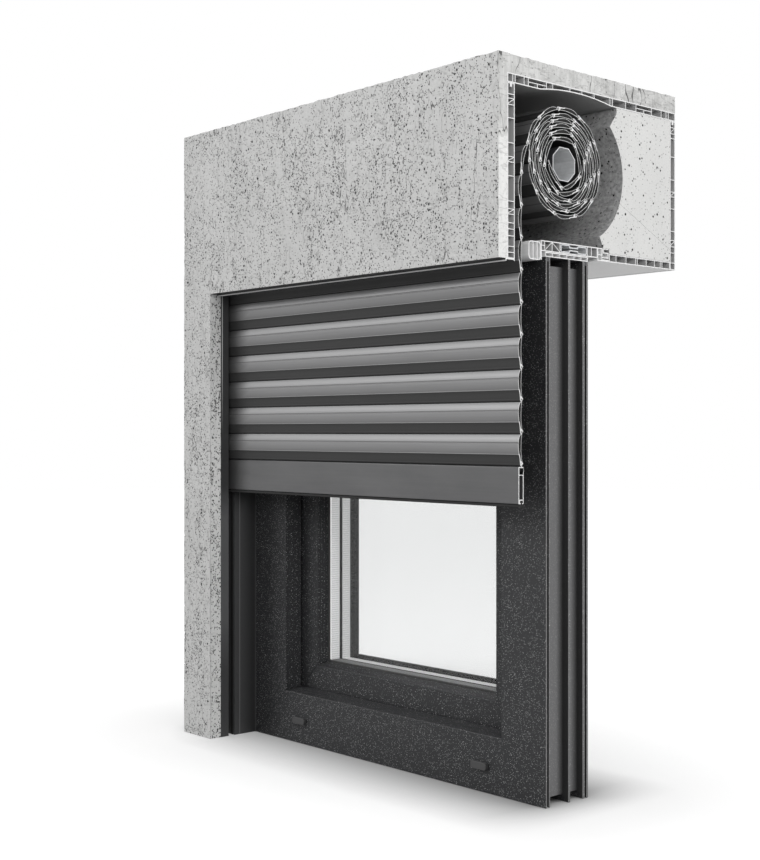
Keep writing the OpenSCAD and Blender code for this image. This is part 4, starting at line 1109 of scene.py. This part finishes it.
class SHUTTER_OT_window(bpy.types.Operator):
    """Finishes the window frame, the sash and the glazing"""
    bl_idname = "shutter.window"
    bl_label = "Window"

    def execute(self, context):
        settings = context.scene.shutter_window
        dress(foil_finish(settings, "foil upright", UPRIGHT), "frame_left", "sash_left", "sash_right")
        level = foil_finish(settings, "foil level", LEVEL)
        dress(level, "frame_top", "frame_bottom", "sash_top", "sash_bottom")
        edge = foil_finish(settings, "foil outer edge", UPRIGHT, self.bare_side, self.dark_side)
        dress(edge, "frame_right")
        bead = foil_finish(settings, "foil bead", LEVEL, dark=self.lower_bead, specular=0.05)
        dress(bead, "glazing_beads")
        dress(plastic_finish("drain cap", settings.cap, 0.55), "drain_caps")
        soften(0.5 * MM, "drain_caps")
        soften(1.0 * MM, "frame_left", "frame_bottom", "sash_left", "sash_right", "sash_bottom", "sash_top")
        dress(rubber_finish("window gasket", settings.gasket), "frame_gasket", "glazing_gasket")
        dress(glass_finish(settings), "glass_panes")
        dress(spacer_finish(settings), "glass_spacers")
        return {"FINISHED"}

    def lower_bead(self, x, y, z):
        """1 on the lower glazing bead, which is painted near black as shade."""
        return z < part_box("glazing_beads")[0].z + 24 * MM

    def bare_side(self, x, y, z):
        """1 on the right bar's outer side, which has no foil."""
        low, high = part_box("frame_right")
        return (x > high.x - 9.4 * MM) * (y > low.y + 0.8 * MM)

    def dark_side(self, x, y, z):
        """Painted shade: how dark the grooves of the right bar's outer side and the far ends of its recesses
        are.
        """
        low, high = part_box("frame_right")
        rib, land = low.y + 0.53 * (high.y - low.y), high.y - 10 * MM
        ends = [spread(y, end - 12 * MM, end - 0.5 * MM, 0.0, 0.85) * (y < end + 0.2 * MM)
                for end in (rib, land)]
        grooves = [abs(y - middle) < 1.6 * MM for middle in (low.y + 4.5 * MM, high.y - 4.5 * MM)]
        return most(*ends, *grooves) * (x < high.x - 0.3 * MM)


class SHUTTER_OT_fittings(bpy.types.Operator):
    """Finishes the hinges and the handle"""
    bl_idname = "shutter.fittings"
    bl_label = "Fittings"

    def execute(self, context):
        settings = context.scene.shutter_window
        satin = metal_finish("satin fitting", settings.fitting, 0.36, 0.9, along=UPRIGHT)
        dress(satin, "hinge_frame_leaves", "hinge_sash_leaves", "handle_rosette", "handle_lever")
        soften(0.5 * MM, "handle_rosette")
        return {"FINISHED"}


class SHUTTER_PT_tools(bpy.types.Panel):
    """Lists the sample's operators and settings"""
    bl_idname = "SHUTTER_PT_tools"
    bl_label = "Roller Shutter"
    bl_space_type = "VIEW_3D"
    bl_region_type = "UI"
    bl_category = "Shutter"

    def draw(self, context):
        for operator in OPERATORS:
            self.layout.operator(operator.bl_idname)
        for name, group in SETTINGS.items():
            box = self.layout.box()
            box.label(text=group.__doc__)
            for field in group.__annotations__:
                box.prop(getattr(context.scene, name), field)


SETTINGS = {
    "shutter_render": RenderCoatSettings,
    "shutter_box": BoxSettings,
    "shutter_curtain": CurtainSettings,
    "shutter_window": WindowSettings,
    "shutter_stage": StageSettings,
}
OPERATORS = (SHUTTER_OT_stage, SHUTTER_OT_render_coat, SHUTTER_OT_box, SHUTTER_OT_curtain, SHUTTER_OT_guide,
             SHUTTER_OT_window, SHUTTER_OT_fittings)


def register():
    """Registers the settings, the operators and the panel."""
    for name, group in SETTINGS.items():
        bpy.utils.register_class(group)
        setattr(bpy.types.Scene, name, PointerProperty(type=group))
    for kind in (*OPERATORS, SHUTTER_PT_tools):
        bpy.utils.register_class(kind)


def unregister():
    """Takes back what register added."""
    for kind in (SHUTTER_PT_tools, *reversed(OPERATORS)):
        bpy.utils.unregister_class(kind)
    for name, group in reversed(SETTINGS.items()):
        delattr(bpy.types.Scene, name)
        bpy.utils.unregister_class(group)


def main():
    """Builds the whole sample."""
    register()
    for call in (bpy.ops.shutter.stage, bpy.ops.shutter.render_coat, bpy.ops.shutter.box,
                 bpy.ops.shutter.curtain, bpy.ops.shutter.guide, bpy.ops.shutter.window,
                 bpy.ops.shutter.fittings):
        call()


if __name__ == "__main__":
    main()
